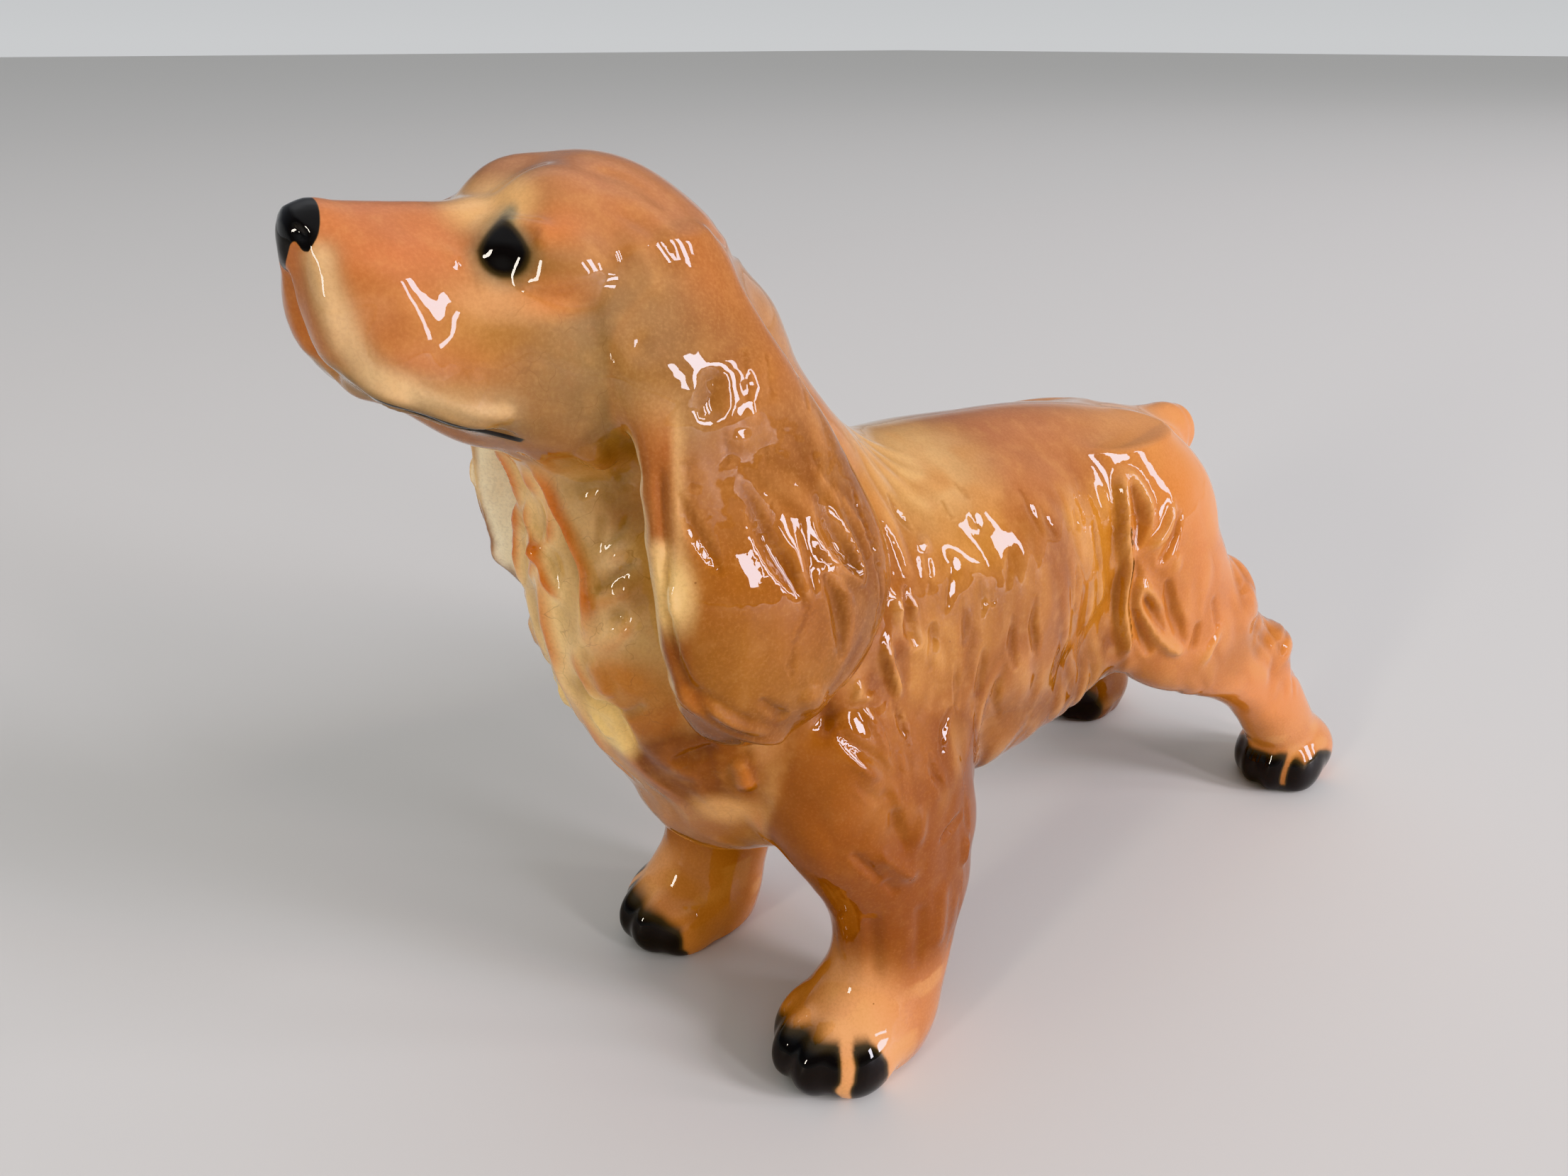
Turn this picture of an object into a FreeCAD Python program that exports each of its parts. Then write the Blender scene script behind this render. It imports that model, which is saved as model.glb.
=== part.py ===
import FreeCAD, Part
import Sketcher
import os
from FreeCAD import Vector, Placement, Rotation

# Glazed pottery spaniel figure, millimetres. The dog looks along -Y, its left
# side is +X, and it stands on Z = 0. The figure is slip cast in nine pieces
# that are luted together before firing: a hollow body, a hollow head with the
# neck, two ear flaps, four legs and a docked tail.

os.makedirs("parts", exist_ok=True)
doc = FreeCAD.newDocument("spaniel")
sheet = doc.addObject("Spreadsheet::Sheet", "dims")

row = [0]


def cell(alias, value):
    row[0] += 1
    address = "A%d" % row[0]
    sheet.set(address, repr(float(value)))
    sheet.setAlias(address, alias)
    return "dims." + alias


# ---- driving dimensions -------------------------------------------------

cell("wall", 3.0)            # thickness of the cast wall
cell("vent_radius", 2.5)     # hole in the belly that lets the kiln air out
cell("vent_y", 16.0)
cell("frame_shift", 0.0)     # moves the figure so that its box is centred

# Cross sections of the forms. Upright sections lie across the dog:
# (y, x centre, z centre, half width, half height), half height the larger.
TORSO = [(-81.0, 0, 76.0, 3.0, 6.0), (-78.0, 0, 74.0, 9.0, 14.0), (-72.0, 0, 69.0, 14.0, 20.5),
         (-65.0, 0, 62.0, 17.5, 26.5), (-56.5, 0, 58.5, 19.5, 29.5), (-44.0, 0, 57.5, 20.5, 29.5),
         (-28.0, 0, 58.0, 20.0, 27.5), (-12.0, 0, 59.0, 19.5, 26.5), (3.0, 0, 59.5, 18.5, 24.5),
         (18.0, 0, 60.0, 17.5, 20.5), (31.0, 0, 59.5, 16.5, 17.0), (40.0, 0, 57.0, 12.5, 13.0),
         (45.0, 0, 55.5, 6.0, 6.5)]
HEAD = [(-102.5, 0, 118.0, 3.0, 3.2), (-100.5, 0, 115.2, 6.0, 6.6), (-95.0, 0, 111.2, 8.5, 10.2),
        (-88.0, 0, 109.0, 11.0, 11.4), (-82.0, 0, 109.3, 13.9, 14.0), (-75.0, 0, 107.8, 16.3, 16.4),
        (-67.0, 0, 106.4, 16.3, 16.4), (-60.0, 0, 105.2, 14.0, 14.1), (-54.5, 0, 103.6, 8.0, 8.1)]
TAIL = [(22.0, 0, 72.5, 4.2, 4.4), (30.0, 0, 73.4, 4.4, 4.6), (38.0, 0, 72.8, 4.3, 4.8),
        (44.0, 0, 71.4, 3.8, 4.6), (47.0, 0, 70.2, 2.4, 3.2)]

# Level sections: (z, x centre, y centre, half width, half length), half
# length the larger.
NECK = [(109.0, 0, -67.0, 13.9, 14.0), (101.0, 0, -65.5, 15.5, 18.0), (93.0, 0, -62.5, 17.0, 21.0),
        (83.0, 0, -56.5, 17.5, 23.5), (74.0, 0, -52.5, 17.5, 24.0)]
EAR = [(115.0, 15.5, -71.5, 2.2, 3.0), (111.0, 17.2, -71.5, 3.4, 5.6), (105.0, 19.0, -71.0, 4.0, 8.6),
       (97.0, 20.2, -69.0, 4.8, 11.6), (88.0, 20.4, -67.2, 5.6, 13.7), (79.0, 20.0, -66.7, 6.6, 14.0),
       (71.0, 19.6, -65.8, 6.8, 11.6), (65.5, 19.6, -65.2, 5.4, 7.8), (62.5, 20.0, -65.0, 2.6, 3.6)]
FORELEG = [(0.0, 18.8, -47.5, 8.0, 10.0), (4.0, 18.8, -49.3, 9.4, 12.4), (9.0, 18.8, -48.3, 9.2, 12.0),
           (15.0, 18.5, -42.5, 7.8, 10.2), (22.0, 18.2, -40.0, 7.6, 11.2), (32.0, 17.8, -40.5, 8.2, 13.4),
           (42.0, 17.0, -41.5, 8.6, 15.4), (52.0, 13.8, -42.0, 8.0, 15.0),
           (61.0, 10.5, -42.5, 7.0, 12.5)]
HINDLEG = [(0.0, 20.5, 65.5, 6.6, 7.6), (4.0, 20.5, 65.4, 8.2, 9.7), (8.0, 20.5, 65.8, 8.0, 9.7),
           (13.0, 20.0, 64.5, 6.6, 8.2), (20.0, 19.0, 58.5, 6.3, 8.8), (28.0, 18.0, 51.0, 6.5, 10.9),
           (36.0, 17.0, 42.5, 6.8, 14.0), (44.0, 15.8, 34.5, 7.4, 16.5), (54.0, 13.8, 28.5, 7.6, 16.5),
           (64.0, 10.6, 25.0, 6.5, 14.0),
           (72.0, 7.0, 22.5, 5.6, 10.5)]


def other_side(table, back=0.0, lift=0.0, until=None):
    """The same sections on the dog's right, set a little further back or up."""
    out = []
    for z, x, y, half_w, half_l in table:
        share = 1.0 if until is None else max(0.0, 1.0 - max(0.0, z - 12.0) / until)
        out.append((z + lift, -x, y + back * share, half_w, half_l))
    return out


def lofted(name, table, upright, shrink=0.0, drop_ends=False, feature="AdditiveLoft"):
    """A PartDesign body lofted through ellipse sketches bound to the sheet."""
    body = doc.addObject("PartDesign::Body", name)
    role = "XZ_Plane" if upright else "XY_Plane"
    plane = [f for f in body.Origin.OriginFeatures if f.Role == role][0]
    rows = table[1:-1] if drop_ends else table
    sketches = []
    for k, (station, cx, c2, half_w, half_l) in enumerate(rows):
        tag = "%s_%d" % (name, k)
        minor, major = half_w - shrink, half_l - shrink
        sk = body.newObject("Sketcher::SketchObject", name + "_section")
        sk.AttachmentSupport = [(plane, "")]
        sk.MapMode = "FlatFace"
        sk.addGeometry(Part.Ellipse(Vector(0, major, 0), Vector(minor, 0, 0), Vector(0, 0, 0)), False)
        sk.exposeInternalGeometry(0)
        sk.addConstraint(Sketcher.Constraint("Coincident", 0, 3, -1, 1))
        sk.addConstraint(Sketcher.Constraint("Vertical", 1))
        long_way = sk.addConstraint(Sketcher.Constraint("Distance", 1, 2 * major))
        short_way = sk.addConstraint(Sketcher.Constraint("Distance", 2, 2 * minor))
        sk.setExpression("Constraints[%d]" % long_way, "2 * " + cell(tag + "_long", major))
        sk.setExpression("Constraints[%d]" % short_way, "2 * " + cell(tag + "_short", minor))
        sx, sy, sz = (cx, c2, -station) if upright else (cx, c2, station)
        sk.AttachmentOffset = Placement(Vector(sx, sy, sz), Rotation())
        sk.setExpression("AttachmentOffset.Base.x", cell(tag + "_px", sx))
        sk.setExpression("AttachmentOffset.Base.y", cell(tag + "_py", sy))
        sk.setExpression("AttachmentOffset.Base.z", cell(tag + "_pz", sz))
        sketches.append(sk)
    loft = body.newObject("PartDesign::" + feature, name + "_loft")
    loft.Profile = sketches[0]
    loft.Sections = sketches[1:]
    loft.Ruled = False
    body.Tip = loft
    return body


def cut(name, base, tool):
    op = doc.addObject("Part::Cut", name)
    op.Base, op.Tool = base, tool
    return op


def fuse(name, *shapes):
    op = doc.addObject("Part::MultiFuse", name)
    op.Shapes = list(shapes)
    return op


wall = 3.0
torso_form = lofted("torso_form", TORSO, True)
torso_core = lofted("torso_core", TORSO, True, wall, True)
head_form = lofted("head_form", HEAD, True)
head_core = lofted("head_core", HEAD[1:], True, wall, True)
neck_form = lofted("neck_form", NECK, False)
neck_core = lofted("neck_core", NECK, False, wall)
tail_form = lofted("tail_form", TAIL, True)
left_ear_form = lofted("left_ear_form", EAR, False)
right_ear_form = lofted("right_ear_form", other_side(EAR, 3.0, 1.5), False)
left_foreleg_form = lofted("left_foreleg_form", FORELEG, False)
right_foreleg_form = lofted("right_foreleg_form", other_side(FORELEG, -3.6, 0.0, 60.0), False)
left_hind_form = lofted("left_hind_form", HINDLEG, False)
right_hind_form = lofted("right_hind_form", other_side(HINDLEG, -9.5, 0.0, 40.0), False)

# the plug that makes the kiln vent under the belly
vent = doc.addObject("Part::Cylinder", "vent_plug")
vent.Height = 25.0
vent.setExpression("Radius", "dims.vent_radius")
vent.Placement = Placement(Vector(0, 16.0, 32.0), Rotation())
vent.setExpression("Placement.Base.y", "dims.vent_y")

head_outer = fuse("head_outer", head_form, neck_form)
head_inner = fuse("head_inner", head_core, neck_core)

body_shell = cut("body_shell", cut("body_open", cut("body_hollow", torso_form, torso_core), neck_core), vent)
head_shell = cut("head_shell", cut("head_hollow", head_outer, head_inner), torso_form)
left_ear = cut("left_ear", cut("left_ear_fit", left_ear_form, head_outer), torso_form)
right_ear = cut("right_ear", cut("right_ear_fit", right_ear_form, head_outer), torso_form)
left_foreleg = cut("left_foreleg", left_foreleg_form, torso_form)
right_foreleg = cut("right_foreleg", right_foreleg_form, torso_form)
left_hind_leg = cut("left_hind_leg", left_hind_form, torso_form)
right_hind_leg = cut("right_hind_leg", right_hind_form, torso_form)
tail_stub = cut("tail_stub", tail_form, torso_form)

PIECES = [body_shell, head_shell, left_ear, right_ear, left_foreleg, right_foreleg,
          left_hind_leg, right_hind_leg, tail_stub]

doc.recompute()

# centre the figure's box on the origin, front to back
low = min(p.Shape.optimalBoundingBox().YMin for p in PIECES)
high = max(p.Shape.optimalBoundingBox().YMax for p in PIECES)
for address in range(1, row[0] + 1):
    if sheet.getAlias("A%d" % address) == "frame_shift":
        sheet.set("A%d" % address, repr(round(-(low + high) / 2, 3)))
for piece in PIECES:
    piece.setExpression("Placement.Base.y", "dims.frame_shift")
doc.recompute()

for obj in doc.Objects:
    if "Invalid" in obj.State or "Error" in obj.State:
        raise RuntimeError("%s failed: %s" % (obj.Label, obj.State))
for piece in PIECES:
    shape = piece.Shape
    if shape.isNull() or not shape.isValid() or shape.Volume <= 0:
        raise RuntimeError("%s has no valid shape" % piece.Label)

total = None
for piece in PIECES:
    shape = piece.Shape
    box = shape.optimalBoundingBox()
    print("%-15s solids %d  volume %9.1f  x %7.2f %7.2f  y %7.2f %7.2f  z %7.2f %7.2f" % (
        piece.Label, len(shape.Solids), shape.Volume, box.XMin, box.XMax, box.YMin, box.YMax, box.ZMin, box.ZMax))
    shape.exportStep("parts/%s.step" % piece.Label)
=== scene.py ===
import bpy, math, time
import numpy as np
from mathutils import Vector, Matrix
from mathutils.bvhtree import BVHTree


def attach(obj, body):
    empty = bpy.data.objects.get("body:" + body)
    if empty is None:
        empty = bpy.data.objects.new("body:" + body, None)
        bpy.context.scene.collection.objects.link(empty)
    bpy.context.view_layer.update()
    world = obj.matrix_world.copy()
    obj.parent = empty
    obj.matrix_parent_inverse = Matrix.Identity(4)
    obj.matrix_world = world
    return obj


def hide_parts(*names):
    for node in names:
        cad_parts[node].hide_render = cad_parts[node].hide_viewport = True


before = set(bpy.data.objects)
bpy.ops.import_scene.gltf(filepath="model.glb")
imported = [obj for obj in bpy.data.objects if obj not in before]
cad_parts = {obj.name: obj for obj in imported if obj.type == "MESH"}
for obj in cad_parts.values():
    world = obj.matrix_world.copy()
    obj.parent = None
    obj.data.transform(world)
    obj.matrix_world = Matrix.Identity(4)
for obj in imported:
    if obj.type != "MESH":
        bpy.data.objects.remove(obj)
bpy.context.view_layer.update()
T0 = time.time()

# ---------------------------------------------------------------------------
# Working frame of the sculpt: millimetres, x = the dog's left, y = backwards,
# z = up, origin under the middle of the paws. The part's own frame is the
# same, moved back by SHIFT.
SHIFT = 13.5

# the camera of the photograph, in the working frame
CAM = np.array([111.15, -138.63, 134.0])
RIGHT = np.array([0.63801, 0.77003, 0.0])
FWD = np.array([-0.77003, 0.63801, 0.0])
PITCH = math.radians(25.0)
UP = np.array([0.0, 0.0, 1.0])
AXIS = FWD * math.cos(PITCH) - UP * math.sin(PITCH)
DOWN = -(UP * math.cos(PITCH) + FWD * math.sin(PITCH))
FPX = 1661.0


def pixel_ray(u, v):
    d = AXIS + RIGHT * (u - 1106.0) / FPX + DOWN * (v - 829.5) / FPX
    return d / np.linalg.norm(d)


# ---------------------------------------------------------------------------
# small signed-distance toolkit (numpy)

def hermite(ts, vs, q):
    """Smooth interpolation of table columns vs at q, with its slope."""
    ts = np.asarray(ts, float)
    vs = np.asarray(vs, float)
    flip = ts[0] > ts[-1]
    if flip:
        ts, vs = ts[::-1], vs[::-1]
    m = np.gradient(vs, ts, axis=0)
    qc = np.clip(q, ts[0], ts[-1])
    i = np.clip(np.searchsorted(ts, qc, side="right") - 1, 0, len(ts) - 2)
    h = ts[i + 1] - ts[i]
    s = (qc - ts[i]) / h
    h00 = 2 * s ** 3 - 3 * s ** 2 + 1
    h10 = s ** 3 - 2 * s ** 2 + s
    h01 = -2 * s ** 3 + 3 * s ** 2
    h11 = s ** 3 - s ** 2
    val = h00 * vs[i] + h10 * h * m[i] + h01 * vs[i + 1] + h11 * h * m[i + 1]
    d = ((6 * s ** 2 - 6 * s) / h) * vs[i] + (3 * s ** 2 - 4 * s + 1) * m[i] \
        + ((-6 * s ** 2 + 6 * s) / h) * vs[i + 1] + (3 * s ** 2 - 2 * s) * m[i + 1]
    return val, d


def tube(table, axis):
    """Ellipse sections stacked along y (rows y,cx,cz,a,b) or z (rows z,cx,cy,a,b)."""
    rows = np.array(table, float)
    ts = rows[:, 0]

    def f(x, y, z):
        t, u, v = (y, x, z) if axis == "y" else (z, x, y)
        t = np.asarray(t, float)
        cu, cud = hermite(ts, rows[:, 1], t)
        cv, cvd = hermite(ts, rows[:, 2], t)
        a, ad = hermite(ts, rows[:, 3], t)
        b, bd = hermite(ts, rows[:, 4], t)
        a = np.maximum(a, 0.3)
        b = np.maximum(b, 0.3)
        du, dv = u - cu, v - cv
        eu, ev = du / a ** 2, dv / b ** 2
        k0 = np.sqrt(du * eu + dv * ev) + 1e-6
        tt = eu * cud + ev * cvd + du * eu * ad / a + dv * ev * bd / b
        den = np.sqrt(eu ** 2 + ev ** 2 + np.minimum(tt ** 2, 4 * (eu ** 2 + ev ** 2))) + 1e-6
        d = k0 * (k0 - 1) / den
        lo, hi = ts.min(), ts.max()
        over = np.maximum(np.maximum(lo - t, t - hi), 0)
        d = np.where(over > 0, np.sqrt(np.maximum(d, 0) ** 2 + over ** 2), d)
        return d
    # bounds
    pts = []
    for r in rows:
        if axis == "y":
            pts += [(r[1] - r[3], r[0], r[2] - r[4]), (r[1] + r[3], r[0], r[2] + r[4])]
        else:
            pts += [(r[1] - r[3], r[2] - r[4], r[0]), (r[1] + r[3], r[2] + r[4], r[0])]
    pts = np.array(pts)
    return f, pts.min(0), pts.max(0)


def rot(rx=0, ry=0, rz=0):
    return np.array((Matrix.Rotation(math.radians(rz), 3, "Z") @ Matrix.Rotation(math.radians(ry), 3, "Y")
                     @ Matrix.Rotation(math.radians(rx), 3, "X")))


def ball(c, r, R=None):
    c = np.asarray(c, float)
    r = np.asarray(r, float)

    def f(x, y, z):
        dx, dy, dz = x - c[0], y - c[1], z - c[2]
        if R is not None:
            dx, dy, dz = (R[0, 0] * dx + R[1, 0] * dy + R[2, 0] * dz,
                          R[0, 1] * dx + R[1, 1] * dy + R[2, 1] * dz,
                          R[0, 2] * dx + R[1, 2] * dy + R[2, 2] * dz)
        k0 = np.sqrt((dx / r[0]) ** 2 + (dy / r[1]) ** 2 + (dz / r[2]) ** 2) + 1e-6
        k1 = np.sqrt((dx / r[0] ** 2) ** 2 + (dy / r[1] ** 2) ** 2 + (dz / r[2] ** 2) ** 2) + 1e-6
        return k0 * (k0 - 1) / k1
    m = r.max() if R is not None else r
    return f, c - m, c + m


def rod(p, q, r0, r1):
    """A rod with round ends, radius r0 at p and r1 at q."""
    p, q = np.asarray(p, float), np.asarray(q, float)
    ax = q - p
    L2 = float(ax @ ax)

    def f(x, y, z):
        dx, dy, dz = x - p[0], y - p[1], z - p[2]
        s = np.clip((dx * ax[0] + dy * ax[1] + dz * ax[2]) / L2, 0, 1)
        return np.sqrt((dx - s * ax[0]) ** 2 + (dy - s * ax[1]) ** 2 + (dz - s * ax[2]) ** 2) - (r0 + (r1 - r0) * s)
    m = max(r0, r1)
    return f, np.minimum(p, q) - m, np.maximum(p, q) + m


def smin(a, b, k):
    h = np.maximum(k - np.abs(a - b), 0) / k
    return np.minimum(a, b) - h * h * k * 0.25


def smax(a, b, k):
    return -smin(-a, -b, k)


# every form: (group, kind, (f, low, high), k). kind "+" joins, "-" carves
FORMS = []


def add(group, form, k=2.0, kind="+"):
    FORMS.append((group, kind, form, k))


def both(group_l, group_r, make, k=2.0, kind="+"):
    """The same form on both sides; make(s) takes s = +1 or -1."""
    add(group_l, make(1), k, kind)
    add(group_r, make(-1), k, kind)


# ---- body --------------------------------------------------------------
TORSO = [(-82.5, 0, 76, 1, 3), (-81.3, 0, 75.5, 6, 9), (-79, 0, 74, 10, 14.5), (-73, 0, 69, 14.5, 20.5),
         (-66, 0, 63, 17, 26), (-57, 0, 59.5, 18.6, 28.6), (-44, 0, 59, 19.4, 28.2), (-28, 0, 59.5, 19.2, 26.2),
         (-12, 0, 60, 18.6, 24.6), (3, 0, 60, 17.6, 23.2), (18, 0, 60.6, 17.0, 19.8), (30, 0, 60.5, 15.2, 16.6),
         (37.5, 0, 58.8, 11.8, 13.4), (42.0, 0, 57.4, 7, 8.4), (44.0, 0, 56.5, 1.5, 2)]
add("body", tube(TORSO, "y"), 4)
# shoulders, ribs, loin, croup
both("body", "body", lambda s: ball((s * 11.4, -47.5, 60), (9.6, 14, 20), rot(rx=-10)), 8)
both("body", "body", lambda s: ball((s * 10.0, -22, 58), (11.0, 21, 21.5)), 8)
add("body", ball((0, 24, 63.0), (12.0, 13.5, 12.0)), 6)
# breast between the forelegs
add("body", ball((0, -58, 42), (9.0, 9, 8.0), rot(rx=-32)), 6)
# belly fringe
both("body", "body", lambda s: ball((s * 11.0, -18, 42.5), (7.2, 12, 8.0), rot(rx=6)), 6)
both("body", "body", lambda s: ball((s * 11.4, -3, 43.0), (6.6, 11, 7.0), rot(rx=4)), 6)
both("body", "body", lambda s: ball((s * 11.5, 9, 46.5), (6, 8, 7)), 6)

# ---- head and neck --------------------------------------------------------
NECK = [(112, 0, -68.5, 11.5, 12.0), (107, 0, -67.2, 13.2, 15.6), (103, 0, -66.6, 13.6, 17.2), (100, 0, -66.2, 13.8, 18.2), (93, 0, -63.0, 14.8, 20.3),
        (86, 0, -58.6, 16.0, 22.6), (78, 0, -54.5, 17.2, 24.2), (70, 0, -52, 17.6, 24.5)]
add("head", tube(NECK, "z"), 4)
add("head", ball((0, -74.2, 108.3), (15.4, 15.4, 15.6)), 4)
add("head", ball((0, -84.0, 108.4), (12.0, 12.6, 9.8)), 4)
MUZZLE = [(-104.4, 0, 114.3, 1.2, 2.0), (-103.7, 0.2, 114.1, 3.5, 4.9), (-102.0, 0.4, 113.4, 5.6, 6.7),
          (-98, 1.0, 111.7, 8.0, 8.1), (-93.5, 0.8, 110.0, 8.7, 9.1), (-88.5, 0.3, 108.6, 9.8, 10.2), (-83, 0, 107.8, 11.8, 11.0)]
add("head", tube(MUZZLE, "y"), 2.5)
# bridge of the nose, flat topped
add("head", rod((0, -100.4, 117.5), (0, -87.5, 115.8), 3.1, 4.0), 2.5)
add("head", ball((5.2, -80.2, 117.9), (5.0, 5.2, 4.9), rot(rz=-18)), 2.2)
add("head", ball((-4.3, -79.2, 117.8), (4.6, 5.0, 4.9), rot(rz=18)), 3.0)
both("head", "head", lambda s: ball((s * 9.6, -78.4, 113.6), (5.6, 6.4, 5.0), rot(rz=s * 12)), 3.5)
# cheeks
both("head", "head", lambda s: ball((s * 9.4, -80.5, 106.5), (6.4, 9.5, 8.0)), 5)
both("head", "head", lambda s: ball((s * 8.2, -80.0, 101.6), (6.4, 8.2, 6.4)), 4)
# flews: upper lips that hang over the mouth, split under the nose
both("head", "head", lambda s: ball((s * 3.1 + 0.4, -99.4, 110.6), (3.8, 4.7, 6.0), rot(rx=10)), 1.6)
both("head", "head", lambda s: ball((s * 5.2 + 0.8, -95.2, 107.3), (4.2, 6.2, 4.9), rot(rx=26, rz=s * 8)), 2.5)
both("head", "head", lambda s: ball((s * 7.2 + 0.5, -89.6, 104.8), (4.2, 6.8, 4.4), rot(rx=20, rz=s * 10)), 3)
# lower jaw
add("head", rod((0.2, -98.0, 105.7), (0.2, -86, 102.2), 3.5, 5.2), 1.5)
add("head", rod((0, -86, 103.2), (0, -76, 100.5), 7.0, 8.0), 5)
# nose leather
add("head", ball((0, -101.7, 118.2), (3.9, 2.7, 2.9), rot(rx=-8)), 0.9)
add("head", ball((0, -103.1, 115.6), (1.6, 1.3, 2.6)), 0.8)
# eye sockets, then the eyes
both("head", "head", lambda s: ball((s * 12.6, -88.9, 117.2), (4.2, 4.6, 4.4), rot(rz=-s * 24)), 3.0, "-")
add("head", ball((7.2, -85.9, 116.0), (3.0, 3.1, 2.7)), 2.0)
add("head", ball((-6.4, -85.0, 115.0), (3.0, 3.1, 2.7)), 2.0)
# the sides of the skull behind the eyes are flat and lean inwards
both("head", "head", lambda s: ball((s * 40.7, -81.8, 124.2), (30.0, 30.0, 30.0)), 2.0, "-")
# swell of the temple
both("head", "head", lambda s: ball((s * 10.6, -82.9, 114.8), (3.5, 3.5, 3.5)), 1.6)
# furrow of the brow
add("head", rod((0, -88.0, 124.6), (0, -78, 127.6), 2.2, 2.0), 4.0, "-")

# ---- ears --------------------------------------------------------------
EAR = [(116.5, 13.0, -72.5, 0.8, 2.0), (113.5, 13.8, -72.8, 2.0, 5.0), (109.5, 16.0, -72.6, 2.9, 7.4),
       (105.5, 18.2, -71.7, 3.6, 9.0), (101.5, 19.0, -70.5, 4.0, 10.4), (97, 19.5, -69.0, 4.3, 11.9), (89, 20.1, -66.6, 5.7, 14.0),
       (81, 21.4, -65.2, 7.1, 15.4), (74, 21.6, -65.0, 7.1, 14.6), (68, 21.2, -65.8, 6.2, 11.8),
       (63.5, 20.4, -66.5, 4.2, 7.6), (61.2, 19.9, -66.8, 1.6, 3.6)]
EAR_R = [(z + 1.0, -(x - 0.4), y + 1.0 + float(np.interp(z, [66, 76, 90], [1.5, 0.5, -0.2])), a, b) for z, x, y, a, b in EAR]
add("ear_l", tube(EAR, "z"), (91, 1.6, 106, 6.5))
add("ear_r", tube(EAR_R, "z"), (92, 1.6, 107, 6.5))

# ---- forelegs ------------------------------------------------------------
FORELEG = [(58, 13.0, -44, 7.6, 15.0), (50, 16.0, -45.0, 8.6, 16.4), (42, 17.2, -44.6, 8.7, 16.8),
           (38, 17.6, -43.6, 8.4, 16.2), (32, 17.9, -41.6, 7.9, 14.6), (27.5, 18.1, -40.6, 7.5, 13.0),
           (23, 18.2, -40.0, 7.3, 11.9), (16, 18.5, -41.2, 7.3, 10.6), (10, 18.8, -43.8, 7.8, 11.0),
           (4, 18.8, -45.4, 7.8, 11.2), (0, 18.8, -45.8, 7.2, 10.4), (-3, 18.8, -45.8, 6, 9)]


# the point of the shoulder stands out above the leg
add("fore_l", ball((16.6, -53.5, 52.6), (8.2, 7.2, 8.2)), 4)
add("fore_r", ball((-16.4, -55.0, 52.6), (8.0, 7.2, 8.2)), 4)


def paw(s, cx, cy, g, r=1.0):
    add(g, ball((cx, cy + 0.5, 5.8), (8.2 * r, 10.2 * r, 6.6 * r)), 3)
    for dx, dy, turn, sc in ((-5.9, -5.8, -14, .94), (-2.1, -8.4, -5, 1.05), (2.5, -8.3, 5, 1.05), (6.1, -5.2, 14, .94)):
        px, py = cx + s * dx * r, cy + dy * r
        add(g, ball((px, py, 4.5 * sc), (2.9 * r * sc, 4.9 * r * sc, 4.9 * sc), rot(rx=14, rz=-s * turn)), 2.2)


add("fore_l", tube(FORELEG, "z"), 4)
paw(1, 19.0, -48.3, "fore_l", 1.04)
FORE_R = [(z, -x, y - (3.6 if z < 16 else 3.6 * (58 - z) / 42.0), a, b) for z, x, y, a, b in FORELEG]
add("fore_r", tube(FORE_R, "z"), 4)
paw(-1, -18.6, -50.6, "fore_r", 0.96)

# ---- hind legs -----------------------------------------------------------
HINDLEG = [(78, 8.5, 14, 6.0, 11.0), (70, 12.0, 17.5, 7.2, 14.0), (61, 14.2, 19.6, 7.4, 14.6), (54, 15.0, 22.4, 7.2, 15.8),
           (47, 15.6, 26.2, 7.0, 18.6), (41, 16.2, 30.8, 6.8, 19.6), (36, 16.8, 35.8, 6.6, 18.4), (32, 17.4, 41.5, 6.4, 16.0),
           (27, 18.0, 49.0, 6.1, 12.4), (22, 18.8, 55.3, 5.8, 10.4), (17, 19.5, 59.6, 5.8, 9.4), (12, 20.2, 63.2, 6.0, 9.0),
           (8, 20.6, 66.2, 6.5, 8.6), (3, 20.8, 67.4, 6.6, 8.2), (-3, 20.8, 67.4, 6, 7)]
add("hind_l", tube(HINDLEG, "z"), 3.5)
paw(1, 21.0, 67.4, "hind_l", 0.90)


def back_right(z):
    return -9.5 if z < 12 else -9.5 * max(0.0, 1 - (z - 12.0) / 42.0)


HIND_R = [(z, -x, y + back_right(z), a, b) for z, x, y, a, b in HINDLEG]
add("hind_r", tube(HIND_R, "z"), 3.5)
paw(-1, -21.0, 58.4, "hind_r", 0.88)
# hock feathering
both("hind_l", "hind_r", lambda s: ball((s * 16.8, 40.2 + (0 if s > 0 else -2), 46.5), (3.5, 4.5, 4.4), rot(rx=40)), 6.0)
both("hind_l", "hind_r", lambda s: ball((s * 18.6, 54.8 + (0 if s > 0 else -5.5), 31.2), (3.3, 4.7, 4.4), rot(rx=40)), 6.0)

# ---- tail -----------------------------------------------------------------
TAIL = [(20, 0, 71.0, 4.2, 4.0), (28, 0, 72.0, 4.4, 4.6), (36, 0, 72.0, 4.6, 5.0), (41.5, 0, 71.4, 4.4, 4.9),
        (44.6, 0, 70.8, 3.3, 3.9), (46.0, 0, 70.6, 1.0, 1.4)]
add("tail", tube(TAIL, "y"), 2.5)

# kiln vent in the belly, and the hollow it opens into
add("body", rod((0, 16, 34), (0, 16, 52), 2.5, 2.5), 0.6, "-")
add("body", ball((0, 14, 58), (5.5, 17, 9)), 0.6, "-")

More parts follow.
